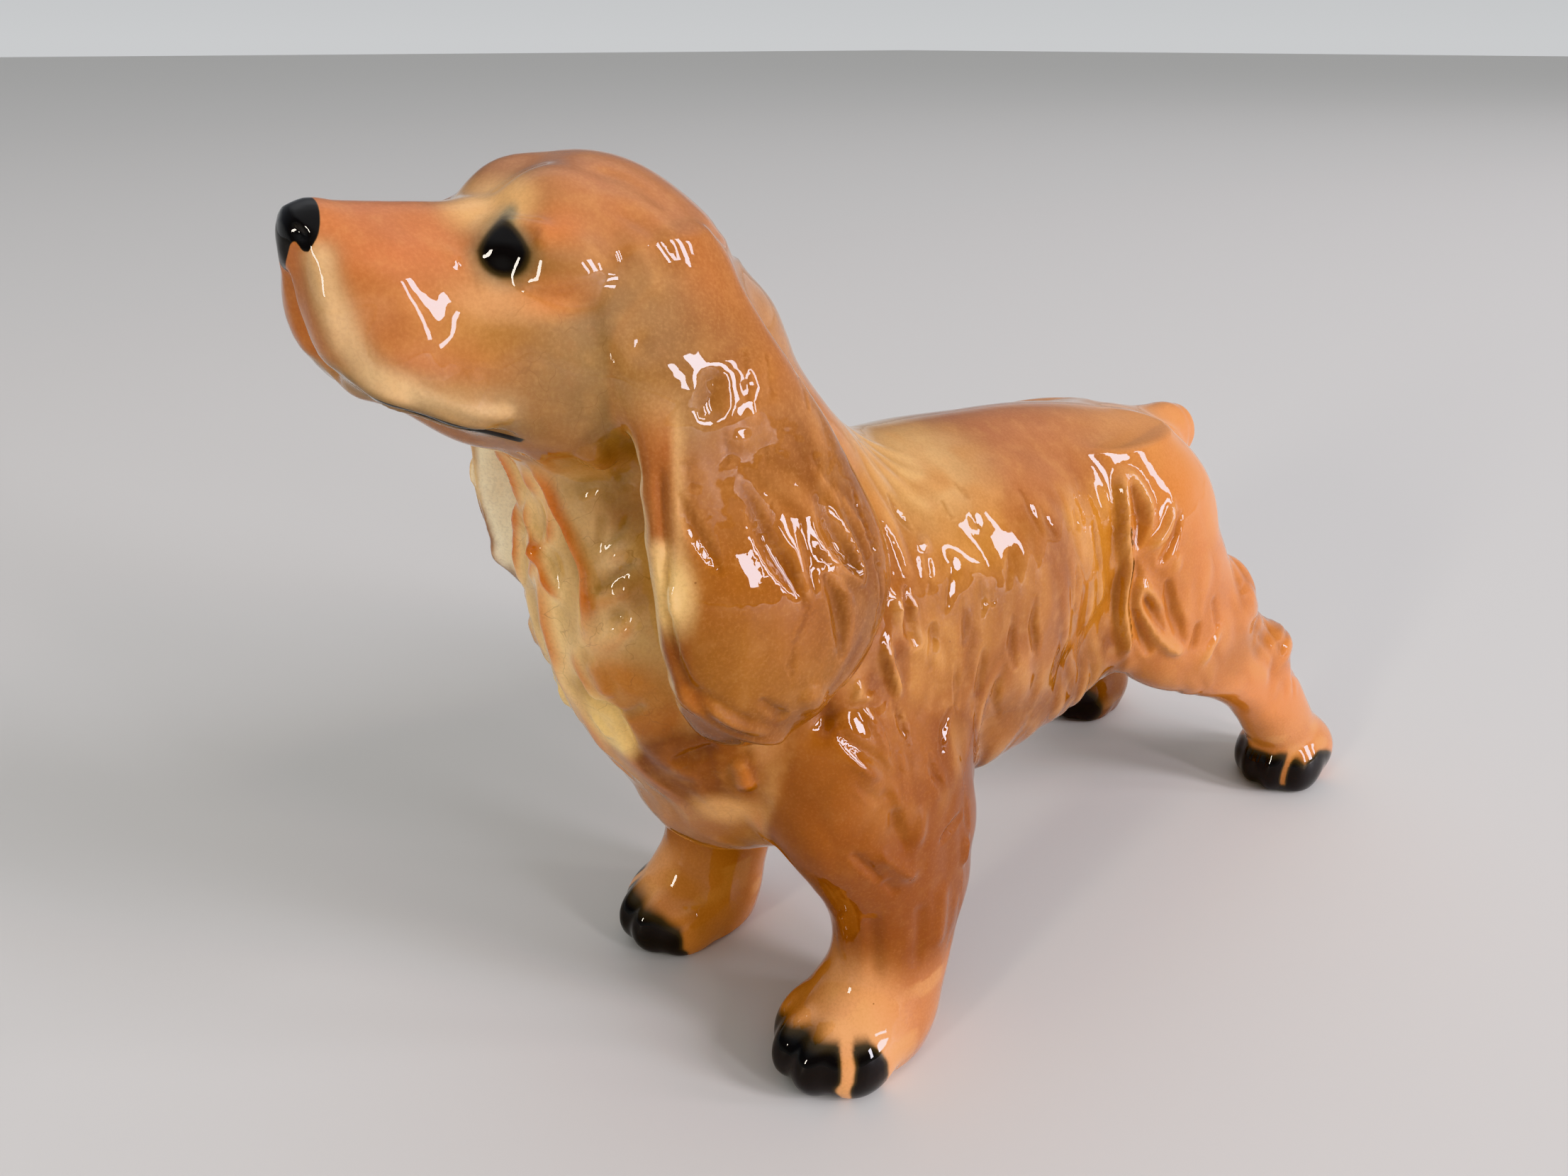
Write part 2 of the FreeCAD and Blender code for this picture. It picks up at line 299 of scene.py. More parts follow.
GROUPS = ["body", "head", "ear_l", "ear_r", "fore_l", "fore_r", "hind_l", "hind_r", "tail"]
NODE = {"body": "body_shell", "head": "head_shell", "ear_l": "left_ear", "ear_r": "right_ear",
        "fore_l": "left_foreleg", "fore_r": "right_foreleg", "hind_l": "left_hind_leg",
        "hind_r": "right_hind_leg", "tail": "tail_stub"}


# ---------------------------------------------------------------------------
# the forms on a rectilinear grid, finer at the head

def ticks(stops):
    out = [stops[0][0]]
    for (a, _), (b, step) in zip(stops[:-1], stops[1:]):
        n = max(1, int(round((b - a) / step)))
        out += list(np.linspace(a, b, n + 1)[1:])
    return np.array(out)


G = 1.0
GX = ticks([(-31, 0), (31, 0.45 * G)])
GY = ticks([(-107, 0), (-78, 0.36 * G), (78, 0.52 * G)])
GZ = ticks([(-2, 0), (96, 0.52 * G), (127, 0.36 * G)])


def blend(k, z):
    """Blend width: a number, or (z low, k low, z high, k high)."""
    if not isinstance(k, tuple):
        return np.full_like(z, k, dtype=float)
    z0, k0_, z1, k1_ = k
    t = np.clip((z - z0) / (z1 - z0), 0, 1)
    return k0_ + (k1_ - k0_) * t * t * (3 - 2 * t)


def build_field():
    F = np.full((len(GX), len(GY), len(GZ)), 30.0, np.float32)
    for group, kind, (f, lo, hi), k in FORMS:
        pad = (max(k[1], k[3]) if isinstance(k, tuple) else k) + 3.0
        i0, i1 = np.searchsorted(GX, [lo[0] - pad, hi[0] + pad])
        j0, j1 = np.searchsorted(GY, [lo[1] - pad, hi[1] + pad])
        k0, k1 = np.searchsorted(GZ, [lo[2] - pad, hi[2] + pad])
        if i1 <= i0 or j1 <= j0 or k1 <= k0:
            continue
        d = f(GX[i0:i1, None, None], GY[None, j0:j1, None], GZ[None, None, k0:k1]).astype(np.float32)
        cur = F[i0:i1, j0:j1, k0:k1]
        kk = blend(k, GZ[None, None, k0:k1]).astype(np.float32)
        F[i0:i1, j0:j1, k0:k1] = smin(cur, d, kk) if kind == "+" else smax(cur, -d, kk)
    # flat soles at z = 0, with a small round
    floor = (-GZ)[None, None, :].astype(np.float32)
    F = smax(F, np.broadcast_to(floor, F.shape), 0.8)
    return F


def surface_nets(F):
    """Vertices and quads of F = 0 on the grid GX, GY, GZ."""
    S = F < 0
    n = np.array(F.shape)
    c = np.zeros(tuple(n - 1), np.uint8)
    for di in (0, 1):
        for dj in (0, 1):
            for dk in (0, 1):
                c += S[di:n[0] - 1 + di, dj:n[1] - 1 + dj, dk:n[2] - 1 + dk]
    active = (c > 0) & (c < 8)
    ci, cj, ck = np.nonzero(active)
    index = np.full(tuple(n - 1), -1, np.int64)
    index[ci, cj, ck] = np.arange(len(ci))
    corner = [(0, 0, 0), (1, 0, 0), (0, 1, 0), (1, 1, 0), (0, 0, 1), (1, 0, 1), (0, 1, 1), (1, 1, 1)]
    vals = np.stack([F[ci + a, cj + b, ck + d] for a, b, d in corner], 1).astype(float)
    pos = np.stack([np.stack([GX[ci + a], GY[cj + b], GZ[ck + d]], -1) for a, b, d in corner], 1)
    total = np.zeros((len(ci), 3))
    count = np.zeros(len(ci))
    for a in range(8):
        for b in range(a + 1, 8):
            if sum(abs(corner[a][t] - corner[b][t]) for t in range(3)) != 1:
                continue
            va, vb = vals[:, a], vals[:, b]
            m = (va < 0) != (vb < 0)
            s = np.where(m, va / np.where(m, va - vb, 1), 0)
            p = pos[:, a] + (pos[:, b] - pos[:, a]) * s[:, None]
            total += p * m[:, None]
            count += m
    V = total / count[:, None]
    quads = []
    # x edges
    e = S[:-1, 1:-1, 1:-1] != S[1:, 1:-1, 1:-1]
    i, j, k = np.nonzero(e)
    j, k = j + 1, k + 1
    q = np.stack([index[i, j - 1, k - 1], index[i, j, k - 1], index[i, j, k], index[i, j - 1, k]], 1)
    flip = ~S[i, j, k]
    q[flip] = q[flip][:, ::-1]
    quads.append(q)
    e = S[1:-1, :-1, 1:-1] != S[1:-1, 1:, 1:-1]
    i, j, k = np.nonzero(e)
    i, k = i + 1, k + 1
    q = np.stack([index[i - 1, j, k - 1], index[i - 1, j, k], index[i, j, k], index[i, j, k - 1]], 1)
    flip = ~S[i, j, k]
    q[flip] = q[flip][:, ::-1]
    quads.append(q)
    e = S[1:-1, 1:-1, :-1] != S[1:-1, 1:-1, 1:]
    i, j, k = np.nonzero(e)
    i, j = i + 1, j + 1
    q = np.stack([index[i - 1, j - 1, k], index[i, j - 1, k], index[i, j, k], index[i - 1, j, k]], 1)
    flip = ~S[i, j, k]
    q[flip] = q[flip][:, ::-1]
    quads.append(q)
    return V, np.concatenate(quads)


def neighbours(Q, n):
    e = np.concatenate([Q[:, [0, 1]], Q[:, [1, 2]], Q[:, [2, 3]], Q[:, [3, 0]]])
    e = np.concatenate([e, e[:, ::-1]])
    key = np.unique(e[:, 0] * n + e[:, 1])
    return key // n, key % n


def smooth(V, A, B, w, rounds=1, mask=None):
    deg = np.bincount(A, minlength=len(V)).astype(float)[:, None]
    for _ in range(rounds):
        m = np.stack([np.bincount(A, weights=V[B, c], minlength=len(V)) for c in range(V.shape[1])], 1) / deg
        step = (m - V) * w
        if mask is not None:
            step *= mask[:, None]
        V = V + step
    return V


def taubin(V, A, B, rounds=2):
    for _ in range(rounds):
        V = smooth(V, A, B, 0.5)
        V = smooth(V, A, B, -0.52)
    return V


def vertex_normals(V, Q):
    n = np.cross(V[Q[:, 2]] - V[Q[:, 0]], V[Q[:, 3]] - V[Q[:, 1]])
    N = np.zeros_like(V)
    for c in range(4):
        for d in range(3):
            N[:, d] += np.bincount(Q[:, c], weights=n[:, d], minlength=len(V))
    return N / (np.linalg.norm(N, axis=1, keepdims=True) + 1e-12)


F = build_field()
print("field %.1fs" % (time.time() - T0), F.shape)
V, Q = surface_nets(F)
del F
A, B = neighbours(Q, len(V))
V = taubin(V, A, B, 3)
N = vertex_normals(V, Q)
print("mesh %.1fs verts %d quads %d" % (time.time() - T0, len(V), len(Q)))


def group_fields(P):
    out = {}
    x, y, z = P[:, 0], P[:, 1], P[:, 2]
    for group, kind, (f, lo, hi), k in FORMS:
        if kind != "+":
            continue
        d = f(x, y, z)
        out[group] = d if group not in out else smin(out[group], d, blend(k, z))
    return np.stack([out[g] for g in GROUPS], 1)


GF = group_fields(V)
label = np.argmin(GF, 1)

# ---------------------------------------------------------------------------
# noise on the surface

def hash01(i, j, k, seed):
    h = (i.astype(np.int64) * 374761393 + j.astype(np.int64) * 668265263 + k.astype(np.int64) * 2147483647
         + seed * 1274126177) & 0xFFFFFFFF
    h = ((h ^ (h >> 13)) * 1274126177) & 0xFFFFFFFF
    h = ((h ^ (h >> 16)) * 2246822519) & 0xFFFFFFFF
    return ((h ^ (h >> 15)) & 0xFFFFFF) / float(0x1000000)


def noise(P, size, seed=0):
    """Smooth noise in -1..1 with features of the given size in mm (one number or three)."""
    q = P / np.asarray(size, float)
    i = np.floor(q).astype(np.int64)
    f = q - i
    u = f * f * f * (f * (f * 6 - 15) + 10)
    out = 0
    for a in (0, 1):
        for b_ in (0, 1):
            for c in (0, 1):
                w = (u[:, 0] if a else 1 - u[:, 0]) * (u[:, 1] if b_ else 1 - u[:, 1]) * (u[:, 2] if c else 1 - u[:, 2])
                out = out + w * hash01(i[:, 0] + a, i[:, 1] + b_, i[:, 2] + c, seed)
    return out * 2 - 1


def tufts(p, q, w, l, seed):
    """Overlapping locks: p runs across the hair (mm), q along it, towards the tips.
    Returns a height in 0..1 and a random number per lock."""
    col = np.floor(p / w)
    f1 = np.full(p.shape, 9.0)
    f2 = np.full(p.shape, 9.0)
    idn = np.zeros(p.shape)
    rel = np.zeros(p.shape)
    for dc in (-1, 0, 1):
        c = col + dc
        off = hash01(c, c * 0 + 7, c * 0, seed) * l
        r = np.floor((q + off) / l)
        for dr in (-1, 0, 1):
            rr = r + dr
            jx = (hash01(c, rr, c * 0 + 1, seed) - 0.5) * 0.55
            jy = (hash01(c, rr, c * 0 + 2, seed) - 0.5) * 0.55
            cx = (c + 0.5 + jx) * w
            cy = (rr + 0.5 + jy) * l - off
            d = np.sqrt(((p - cx) / w) ** 2 + ((q - cy) / l) ** 2 * 1.0)
            near = d < f1
            f2 = np.where(near, f1, np.minimum(f2, d))
            idn = np.where(near, hash01(c, rr, c * 0 + 3, seed), idn)
            rel = np.where(near, (q - cy) / l, rel)
            f1 = np.minimum(f1, d)
    edge = np.clip((f2 - f1) / 0.8, 0, 1)
    h = edge * edge * (3 - 2 * edge)
    h = h * (0.75 + 0.5 * np.clip(rel, -0.5, 0.5))
    return h, idn


def step(x, a, b_):
    t = np.clip((x - a) / (b_ - a), 0, 1)
    return t * t * (3 - 2 * t)


def band(x, a, b_, c, d):
    """0 below a, 1 between b_ and c, 0 above d."""
    return step(x, a, b_) * (1 - step(x, c, d))


# ---------------------------------------------------------------------------
# relief: locks of hair that cover a region, then the drawn strokes

side = np.where(V[:, 0] >= 0, 1.0, -1.0)
X, Y, Z = V[:, 0], V[:, 1], V[:, 2]
lab = {g: label == i for i, g in enumerate(GROUPS)}
soft = {}
for i, g in enumerate(GROUPS):
    m_ = (label == i).astype(float)
    for _ in range(6):
        m_ = m_ + 0.5 * (np.bincount(A, weights=m_[B], minlength=len(V)) / np.bincount(A, minlength=len(V)) - m_)
    soft[g] = m_
disp = np.zeros(len(V))
shade = np.zeros(len(V))          # lock pattern for the paint, -1 in grooves, +1 on crests


def lay(weight, p, q, w, l, amp, seed, warp=(1.0, 9.0)):
    """Add one field of locks."""
    global disp, shade
    use = weight > 0.01
    if not use.any():
        return
    P_ = V[use]
    wp = noise(P_ + 100 * seed, (warp[1] * 0.8, warp[1] * 0.8, warp[1] * 1.4), seed) * warp[0] * w
    wp2 = noise(P_ + 100 * seed, (warp[1] * 2.2,) * 3, seed + 5) * w * 1.5
    h, idn = tufts(p[use] + wp + wp2, q[use] + noise(P_, warp[1], seed + 9) * l * 0.15, w * 1.25, l, seed)
    v = (h - 0.5) * (0.7 + 0.6 * idn)
    disp[use] += amp * 2 * v * weight[use]
    shade[use] += np.clip(v * 2, -1, 1) * weight[use]


nx, ny, nz = N[:, 0], N[:, 1], N[:, 2]
for sgn, seed in ((1, 11), (-1, 47)):
    on = (side == sgn).astype(float)
    body = soft["body"] * on
    # flank and ribs
    lean = Y + 0.12 * (Z - 60) + 1.2 * np.sin(Z / 6.5)
    wgt = body * band(Y, -40, -26, 8, 17) * (1 - step(Z, 72, 81)) * step(np.abs(X), 3, 9)
    lay(wgt * (0.55 + 0.45 * (1 - step(Z, 48, 66))), lean, -Z, 3.9, 15, 0.26, seed)
    # shoulder and side of the neck
    ang = np.arctan2(np.abs(X), -(Y + 44)) * 19.0
    wgt = (body * step(Y, -70, -60) * (1 - step(Y, -40, -26)) + soft["head"] * on * band(Z, 70, 76, 96, 101) * step(ang, 14, 22)) * (1 - step(Z, 84, 92))
    lay(wgt * 0.8, ang + 0.25 * (Z - 60), -Z, 3.8, 16, 0.24, seed + 1)
    # breast and throat
    wgt = (body * (1 - step(Y, -70, -60)) + soft["head"] * on * band(Z, 60, 66, 90, 95)) * (1 - step(ang, 14, 22)) * (Y < -40)
    lay(wgt * 0.5, np.abs(X) + 0.10 * (Z - 60) + 1.0 * np.sin(Z / 7.5), -Z, 4.6, 19, 0.3, seed + 2)
    # croup and thigh
    hl = soft["hind_l" if sgn > 0 else "hind_r"]
    wgt = (hl + body * step(Y, 8, 17)) * band(Z, 26, 33, 60, 74) * step(np.abs(X), 7, 12)
    sh = 0 if sgn > 0 else 9.5 * (1 - np.clip((Z - 12) / 42, 0, 1))
    lay(wgt * 0.42, (Y + sh) + 0.55 * (Z - 50), -Z + 0.4 * Y, 4.6, 17, 0.3, seed + 3)
    # feathering at the back of the hind leg
    wgt = hl * band(Z, 20, 26, 50, 56) * step(Y + sh, 36 + (44 - Z) * 0.55, 40 + (44 - Z) * 0.55)
    lay(wgt * 0.8, (Y + sh) * 0.35 + np.abs(X), -Z, 3.2, 9, 0.4, seed + 4)
    # foreleg: upper part, and the feather behind it
    fl = soft["fore_l" if sgn > 0 else "fore_r"]
    wgt = fl * (band(Z, 34, 42, 70, 80) * 0.6 + band(Z, 6, 12, 40, 50) * step(Y, -38, -33) * 0.9)
    lay(wgt, Y + 0.15 * Z + 0.9 * np.sin(Z / 5.0), -Z, 3.6, 13, 0.15, seed + 5)
    # the ear: locks fan out from its root and run down and back
    ear = soft["ear_l" if sgn > 0 else "ear_r"]
    tab = np.array(EAR if sgn > 0 else EAR_R)[::-1]
    yc = np.interp(Z, tab[:, 0], tab[:, 2])
    hb = np.interp(Z, tab[:, 0], tab[:, 4])
    u = (Y - yc) / np.maximum(hb, 3.0)
    outer = step(sgn * nx, -0.1, 0.3)
    fan = u * 12.5 - 0.10 * (112 - Z) + 1.1 * np.sin((112 - Z) / 7.0 + u * 2)
    wgt = ear * outer * band(Z, 62, 70, 104, 112) * (0.22 + 0.78 * step(u + (Z - 84) * 0.02, -0.35, 0.15))
    lay(wgt * (1 - step(Z, 94, 102)), fan, -Z, 3.5, 17, 0.10, seed + 6)
    wgt = ear * (1 - outer) * band(Z, 62, 70, 98, 106)
    lay(wgt * 0.35, fan, -Z, 4.5, 20, 0.5, seed + 7)

# drawn strokes: (where, width, height, points) on the dog's left, in mm. The
# same strokes, a little different, lie on the right side.
# STROKES BEGIN
STROKES = [
    ("e", 0.7, -0.45, (23.1, -76.1, 96.8), (23.8, -75.8, 94.6), (24.5, -75.2, 92.4), (25.2, -74.6, 90), (25.6, -74.3, 88)),
    ("e", 1.1, 0.40, (23.6, -74, 96.9), (24.2, -73.6, 94.8), (24.9, -73.2, 92.8), (25.7, -72.4, 90), (26.3, -71.2, 87.8)),
    ("e", 0.8, -0.55, (24.5, -71.9, 94.5), (25.4, -71.7, 92.1), (26, -71, 89.3), (26.8, -69.5, 85.9), (27.5, -68, 83.1), (27.7, -66.6, 80.8)),
    ("e", 0.5, 0.40, (26.4, -67.2, 88.4), (26.8, -66.7, 86.7), (27.2, -67.2, 84.5), (27.6, -66.8, 82.1), (27.6, -66.2, 80.4)),
    ("e", 0.8, -0.50, (24.3, -70.8, 96), (25.1, -69.5, 93.5), (25.8, -68.2, 91.2), (26.4, -66.6, 88.9)),
    ("e", 0.9, -0.45, (26.2, -68.9, 89.9), (26.5, -68, 88.3)),
    ("e", 1.3, -0.85, (25.8, -63, 90.5), (26.3, -62.1, 88.2), (26.7, -60.8, 85.6), (27, -59.5, 82.7)),
    ("e", 0.5, 0.45, (25.2, -63.6, 92.2), (26, -63.8, 90), (26.6, -64.6, 87.8), (27, -64, 85.7), (27.3, -62.4, 83.6), (27.3, -60.8, 82), (27, -58.8, 81.2)),
    ("e", 0.6, 0.40, (26, -60, 88.1), (26.5, -59.3, 85.5), (27, -58.7, 82.7), (27, -58.7, 81.3)),
    ("e", 1.3, -0.75, (27.5, -64.4, 82.9), (27.7, -63.2, 80.9), (27.7, -61.8, 78.2), (27.6, -61.1, 76.1)),
    ("e", 0.6, 0.35, (27.6, -65.1, 81.4), (27.4, -65.1, 83.5), (27.3, -64.3, 83.8), (27.4, -62.2, 81.6), (27.5, -60.5, 78.9)),
    ("e", 1.0, -0.65, (26.1, -56.2, 84.1), (26.2, -55.3, 81.2), (26.3, -55.2, 78.4), (26.4, -55.9, 75.6)),
    ("e", 0.7, 0.40, (25.6, -56.8, 86.3), (26.6, -57.6, 83.8), (27, -57.3, 80.2), (26.9, -57.3, 76.7), (26.6, -57.2, 73.5)),
    ("e", 0.7, 0.35, (25.6, -55, 83.6), (25.6, -53.9, 80.6), (25.8, -53.8, 77.8), (25.9, -54.2, 74.9), (26.1, -55.6, 73)),
    ("e", 1.0, -0.50, (27.6, -67.6, 75.8), (27.4, -68.3, 74.1)),
    ("e", 1.2, -0.45, (27.7, -67.1, 79.6), (27.6, -68.6, 78.8)),
    ("e", 1.0, -0.50, (27.8, -64.5, 77.7), (27.6, -63.5, 74.6), (27, -62.4, 71.4)),
    ("e", 1.4, -0.40, (27.3, -61.4, 74.2), (27, -61.3, 71.2), (26.5, -61.9, 69.3)),
    ("e", 2.2, -0.45, (24.6, -78.4, 81), (25.7, -76.3, 79.4), (26.6, -73.8, 77.2)),
    ("e", 2.6, 0.50, (27.3, -67, 72), (26.5, -64.4, 68.3), (25.7, -65.3, 66.1)),
    ("e", 1.6, -0.35, (26.5, -73.3, 73.9), (26.5, -71.3, 70.4), (26.1, -69.5, 67.7)),
    ("e", 1.2, 0.35, (23, -77.2, 95.9), (23.8, -76.7, 93.3), (24.6, -76, 90.6), (25.2, -75.4, 88.6)),
    ("e", 1.0, -0.55, (23, -78.1, 94), (23.8, -77.7, 91.2), (24.6, -76.8, 88.8), (25.4, -75.8, 86.7)),
    ("e", 0.8, 0.45, (22.7, -78.7, 93.7), (23.3, -78.5, 91.4), (24.2, -77.6, 88.7), (25.1, -76.3, 86.8), (25.6, -75.4, 85.9), (25.4, -75.1, 87.8)),
    ("e", 1.0, -0.40, (21.7, -79.1, 97.1), (22.3, -79.1, 94.6), (22.7, -79.1, 92.2), (23.2, -79, 89.7), (23.5, -79, 87.8)),
    ("e", 1.3, 0.40, (21.1, -80, 96.4), (21.6, -80, 93.5), (21.9, -80.1, 90.2), (22.2, -80.1, 87.7)),
    ("e", 1.4, -0.30, (21.7, -80.5, 86.4), (22.7, -80.2, 83.8), (22.2, -80.5, 81.6)),
    ("e", 0.9, -0.50, (22.1, -71.4, 102), (23.5, -70.6, 98.3), (24.6, -69.2, 95.1), (25.7, -67.2, 91.5)),
    ("e", 0.9, -0.50, (21.8, -68, 102.6), (23.2, -66.7, 98.8), (24.7, -65.1, 94.5), (25.6, -63.7, 91.3)),
    ("e", 0.9, 0.45, (22, -69.7, 102.3), (23.5, -68.8, 98.3), (24.8, -67.2, 94.3), (25.8, -66, 91.3)),
    ("e", 0.9, -0.45, (21.6, -63.7, 101.2), (23.3, -62.6, 97), (24.5, -60.6, 92.8), (25.6, -59.2, 88.8)),
    ("e", 0.9, 0.40, (21.5, -65.8, 102.2), (23.4, -64.4, 97.7), (24.7, -62.5, 93.6), (25.5, -61, 90.3)),
    ("e", 0.9, 0.40, (21.2, -61.3, 100), (22.9, -59.7, 95.6), (24, -57.4, 91.2), (25.2, -56.5, 87.3)),
    ("e", 1.0, -0.45, (21.5, -59.8, 98.1), (22.7, -57.7, 94.1), (23.7, -55.7, 90), (24.7, -54.6, 86)),
    ("e", 1.0, -0.45, (18.4, -74.6, 113.6), (19.5, -73.5, 110.9), (20.4, -72.1, 108.1), (21, -71.4, 105.3)),
    ("e", 1.0, 0.40, (18.3, -76.3, 113.1), (19.8, -75.8, 109.9), (20.6, -74, 107.1), (21.4, -73, 103.9)),
    ("e", 1.0, -0.45, (19.1, -79, 110.2), (19.5, -80.7, 106.5), (19.9, -79.9, 103.7), (20.4, -79.6, 101)),
    ("e", 0.9, 0.35, (18.3, -67.8, 111.4), (20.2, -68.4, 107.5), (21.7, -68.4, 102.8), (23.1, -67.7, 99.3)),
    ("e", 0.9, -0.45, (17, -64.6, 111.5), (19.4, -65.5, 107), (21.6, -65.5, 102.3), (23.3, -64.6, 98)),
    ("e", 0.9, -0.40, (18.7, -70.7, 112.5), (19.7, -69.8, 109.1), (21.1, -70.1, 105.1), (22.6, -70, 101.1)),
    ("h", 1.2, -0.40, (13.9, -78.3, 117), (15.5, -78.5, 115.6), (16.5, -79, 114.2)),
    ("h", 1.0, 0.30, (15.3, -76.1, 117.3), (17.4, -76.8, 114.4), (19, -75.6, 111.8)),
    ("h", 1.0, -0.30, (11, -77.5, 119.6), (13.6, -75.2, 118.4), (16.9, -74.3, 116.3), (18.6, -73.1, 113.4)),
    ("h", 1.2, -0.22, (6, -77.1, 122.8), (8.1, -73.5, 121.7), (11.7, -71.4, 119.5), (16.8, -71.3, 116.7)),
    ("h", 0.9, -0.30, (19.2, -78.3, 110.2), (19.5, -79.7, 108.4), (19.3, -81, 106.5)),
    ("b", 1.3, -0.65, (13.1, -40.5, 82.8), (14.8, -40.1, 80.5), (16, -38.7, 78.5)),
    ("b", 1.0, -0.45, (15.8, -36.6, 78.1), (16.9, -37.6, 76.9), (17.9, -39.2, 76)),
    ("b", 1.1, -0.55, (13, -27.9, 81), (14.3, -27.6, 79.9)),
    ("b", 1.1, -0.45, (14.2, -31.6, 79.6), (15.6, -31.4, 78.1)),
    ("b", 1.1, -0.45, (16.2, -27.9, 77.9), (17.5, -27.6, 76.1)),
    ("b", 1.1, -0.50, (19.6, -21.8, 72.5), (20.4, -23.4, 70.3), (21, -24.5, 67.9)),
    ("b", 1.1, -0.45, (18.6, -34.3, 73.7), (19.4, -34.3, 72.1)),
    ("b", 1.7, -0.80, (20.4, -43.7, 72.4), (21.2, -44, 70), (21.9, -43.3, 66.8)),
    ("b", 0.8, 0.40, (20.1, -44.1, 73.3), (21.1, -45.7, 71), (21.8, -45.5, 68), (22.1, -43.7, 65.3), (21.7, -41.9, 66.7), (20.9, -41.9, 70.2)),
    ("b", 1.4, -0.65, (20.4, -38, 70.2), (21.3, -39, 67.1), (22, -40.5, 63.5)),
    ("b", 1.2, -0.50, (20.4, -30, 69.7), (20.9, -31.1, 67.8), (21.4, -30.1, 65.7)),
    ("b", 1.4, -0.60, (21.2, -26, 66.9), (21.7, -26.8, 62.8), (22, -26, 58.5)),
    ("b", 1.2, -0.55, (21.6, -18.6, 64.8), (21.9, -19.5, 62.1), (22, -20.3, 58.7)),
    ("b", 0.9, 0.40, (20.5, -15.5, 68.1), (21.5, -16, 63.4), (21.9, -17.2, 58.7), (21.9, -19.6, 54.7)),
    ("b", 1.0, 0.40, (19.3, -20.4, 73.1), (20.8, -21.6, 68.9), (21.6, -23.5, 64.7), (22.1, -23.4, 59.8), (22, -25, 56.1)),
    ("b", 0.9, 0.40, (17.8, -25.8, 75.9), (19.6, -26.8, 72), (20.6, -28.2, 68.8), (21.5, -28.8, 64.4), (22, -30.1, 59.9)),
    ("b", 0.9, 0.40, (17.6, -31.5, 75.5), (19.5, -32.5, 71.6), (20.8, -33.6, 67.6), (21.6, -35.4, 63.6), (22.1, -36.8, 59.3)),
    ("b", 0.9, 0.40, (17, -36.5, 76.6), (18.8, -37.6, 73.8), (20.3, -40.2, 71.3), (21.5, -41.5, 67.5), (22.3, -42.9, 63.5), (22.8, -41.8, 58.4)),
    ("b", 0.9, -0.45, (18.8, -9.1, 69.9), (20.2, -9.4, 65.2), (20.9, -11.1, 60.7), (21.5, -13.3, 56.2)),
    ("b", 0.9, 0.35, (16.9, -3.6, 71), (18.6, -3.4, 65.6), (20, -6, 60.9), (20.4, -7.2, 55.4), (20.1, -9.2, 50.3)),
    ("b", 1.0, -0.45, (17, 0.8, 67.7), (17.9, 1.6, 62.4), (18.8, -0.5, 57.7), (17.6, 1.4, 50.9)),
    ("b", 1.3, -0.60, (22, -34.8, 59.5), (21.9, -31.5, 54.7), (22.1, -31.3, 50.5)),
    ("b", 1.2, -0.55, (22, -28.6, 57.4), (21.5, -25.6, 51.8), (20.6, -22.9, 47.1)),
    ("b", 1.2, -0.50, (21.9, -21.1, 54.7), (21.1, -18.1, 50), (20.6, -18.4, 46.5)),
    ("b", 1.2, 0.55, (21.5, -15.3, 53.6), (19.7, -9.6, 46.8), (19.9, -12.7, 44.6)),
    ("b", 1.0, 0.55, (19.2, -7.5, 47), (19.3, -7.6, 44.7)),
    ("b", 1.2, -0.45, (22.7, -39, 56.3), (23.4, -37.9, 52.1), (23.6, -34.6, 46.6)),
    ("b", 1.0, 0.40, (22.6, -41.6, 59.3), (23.3, -40.8, 54.7), (24, -38, 49.3), (24.2, -35, 44.4)),
    ("b", 1.0, 0.40, (22.2, -33, 52.3), (21.6, -29, 46.1), (18.7, -21.2, 38.6)),
    ("t", 0.8, 0.85, (14.7, 6.6, 75.4), (16.7, 5.4, 70.3), (18.2, 5.6, 62.5), (18.1, 6.6, 54.1), (18.8, 7.8, 46.8), (18.4, 8.3, 43.8)),
    ("t", 0.8, 0.55, (14.6, 6.7, 75.6), (15.9, 8.5, 74.2), (17.7, 9.7, 71.2), (19, 10.2, 67.9)),
    ("t", 0.9, 0.55, (19, 14.1, 70), (19.8, 12.1, 66.2), (19.3, 9, 63.6), (18.3, 6.2, 62.6)),
    ("t", 1.6, -0.75, (17, 7.2, 71), (18.2, 7.6, 67.5), (18.5, 7.2, 64.9)),
    ("t", 1.0, 0.45, (21, 16.3, 63.3), (21.5, 15.4, 57.9)),
    ("t", 1.7, -0.65, (20.2, 10.7, 60), (20.9, 13.1, 56.7), (21.2, 14.5, 52.8)),
    ("t", 0.9, 0.60, (19.2, 8.5, 58.3), (19, 8.6, 55), (19.8, 10.4, 51.8), (20.6, 12.8, 48), (21.3, 15.7, 44.9), (22.1, 19.6, 43.7)),
    ("t", 0.8, 0.45, (19.5, 9.1, 57.9), (20.4, 12.2, 53.8), (20.9, 13.5, 50.6)),
    ("t", 1.3, -0.70, (19.6, 9.7, 52.5), (20.1, 11.2, 48.6), (20.2, 12.5, 45.8)),
    ("t", 1.6, -0.60, (21.4, 15.3, 53.8), (21.7, 16.7, 49.9), (21.8, 18.2, 47.1)),
    ("t", 1.1, 0.45, (22.7, 29.3, 44.4), (22.8, 26, 41.3), (22.6, 25.4, 38.6)),
    ("t", 1.4, -0.40, (22.3, 22.1, 49.7), (22.4, 22.2, 44.7), (22.1, 21.8, 40.3)),
    ("t", 1.5, -0.35, (21.9, 19, 56.5), (22.3, 23.4, 51.7), (22.5, 26.1, 47.9)),
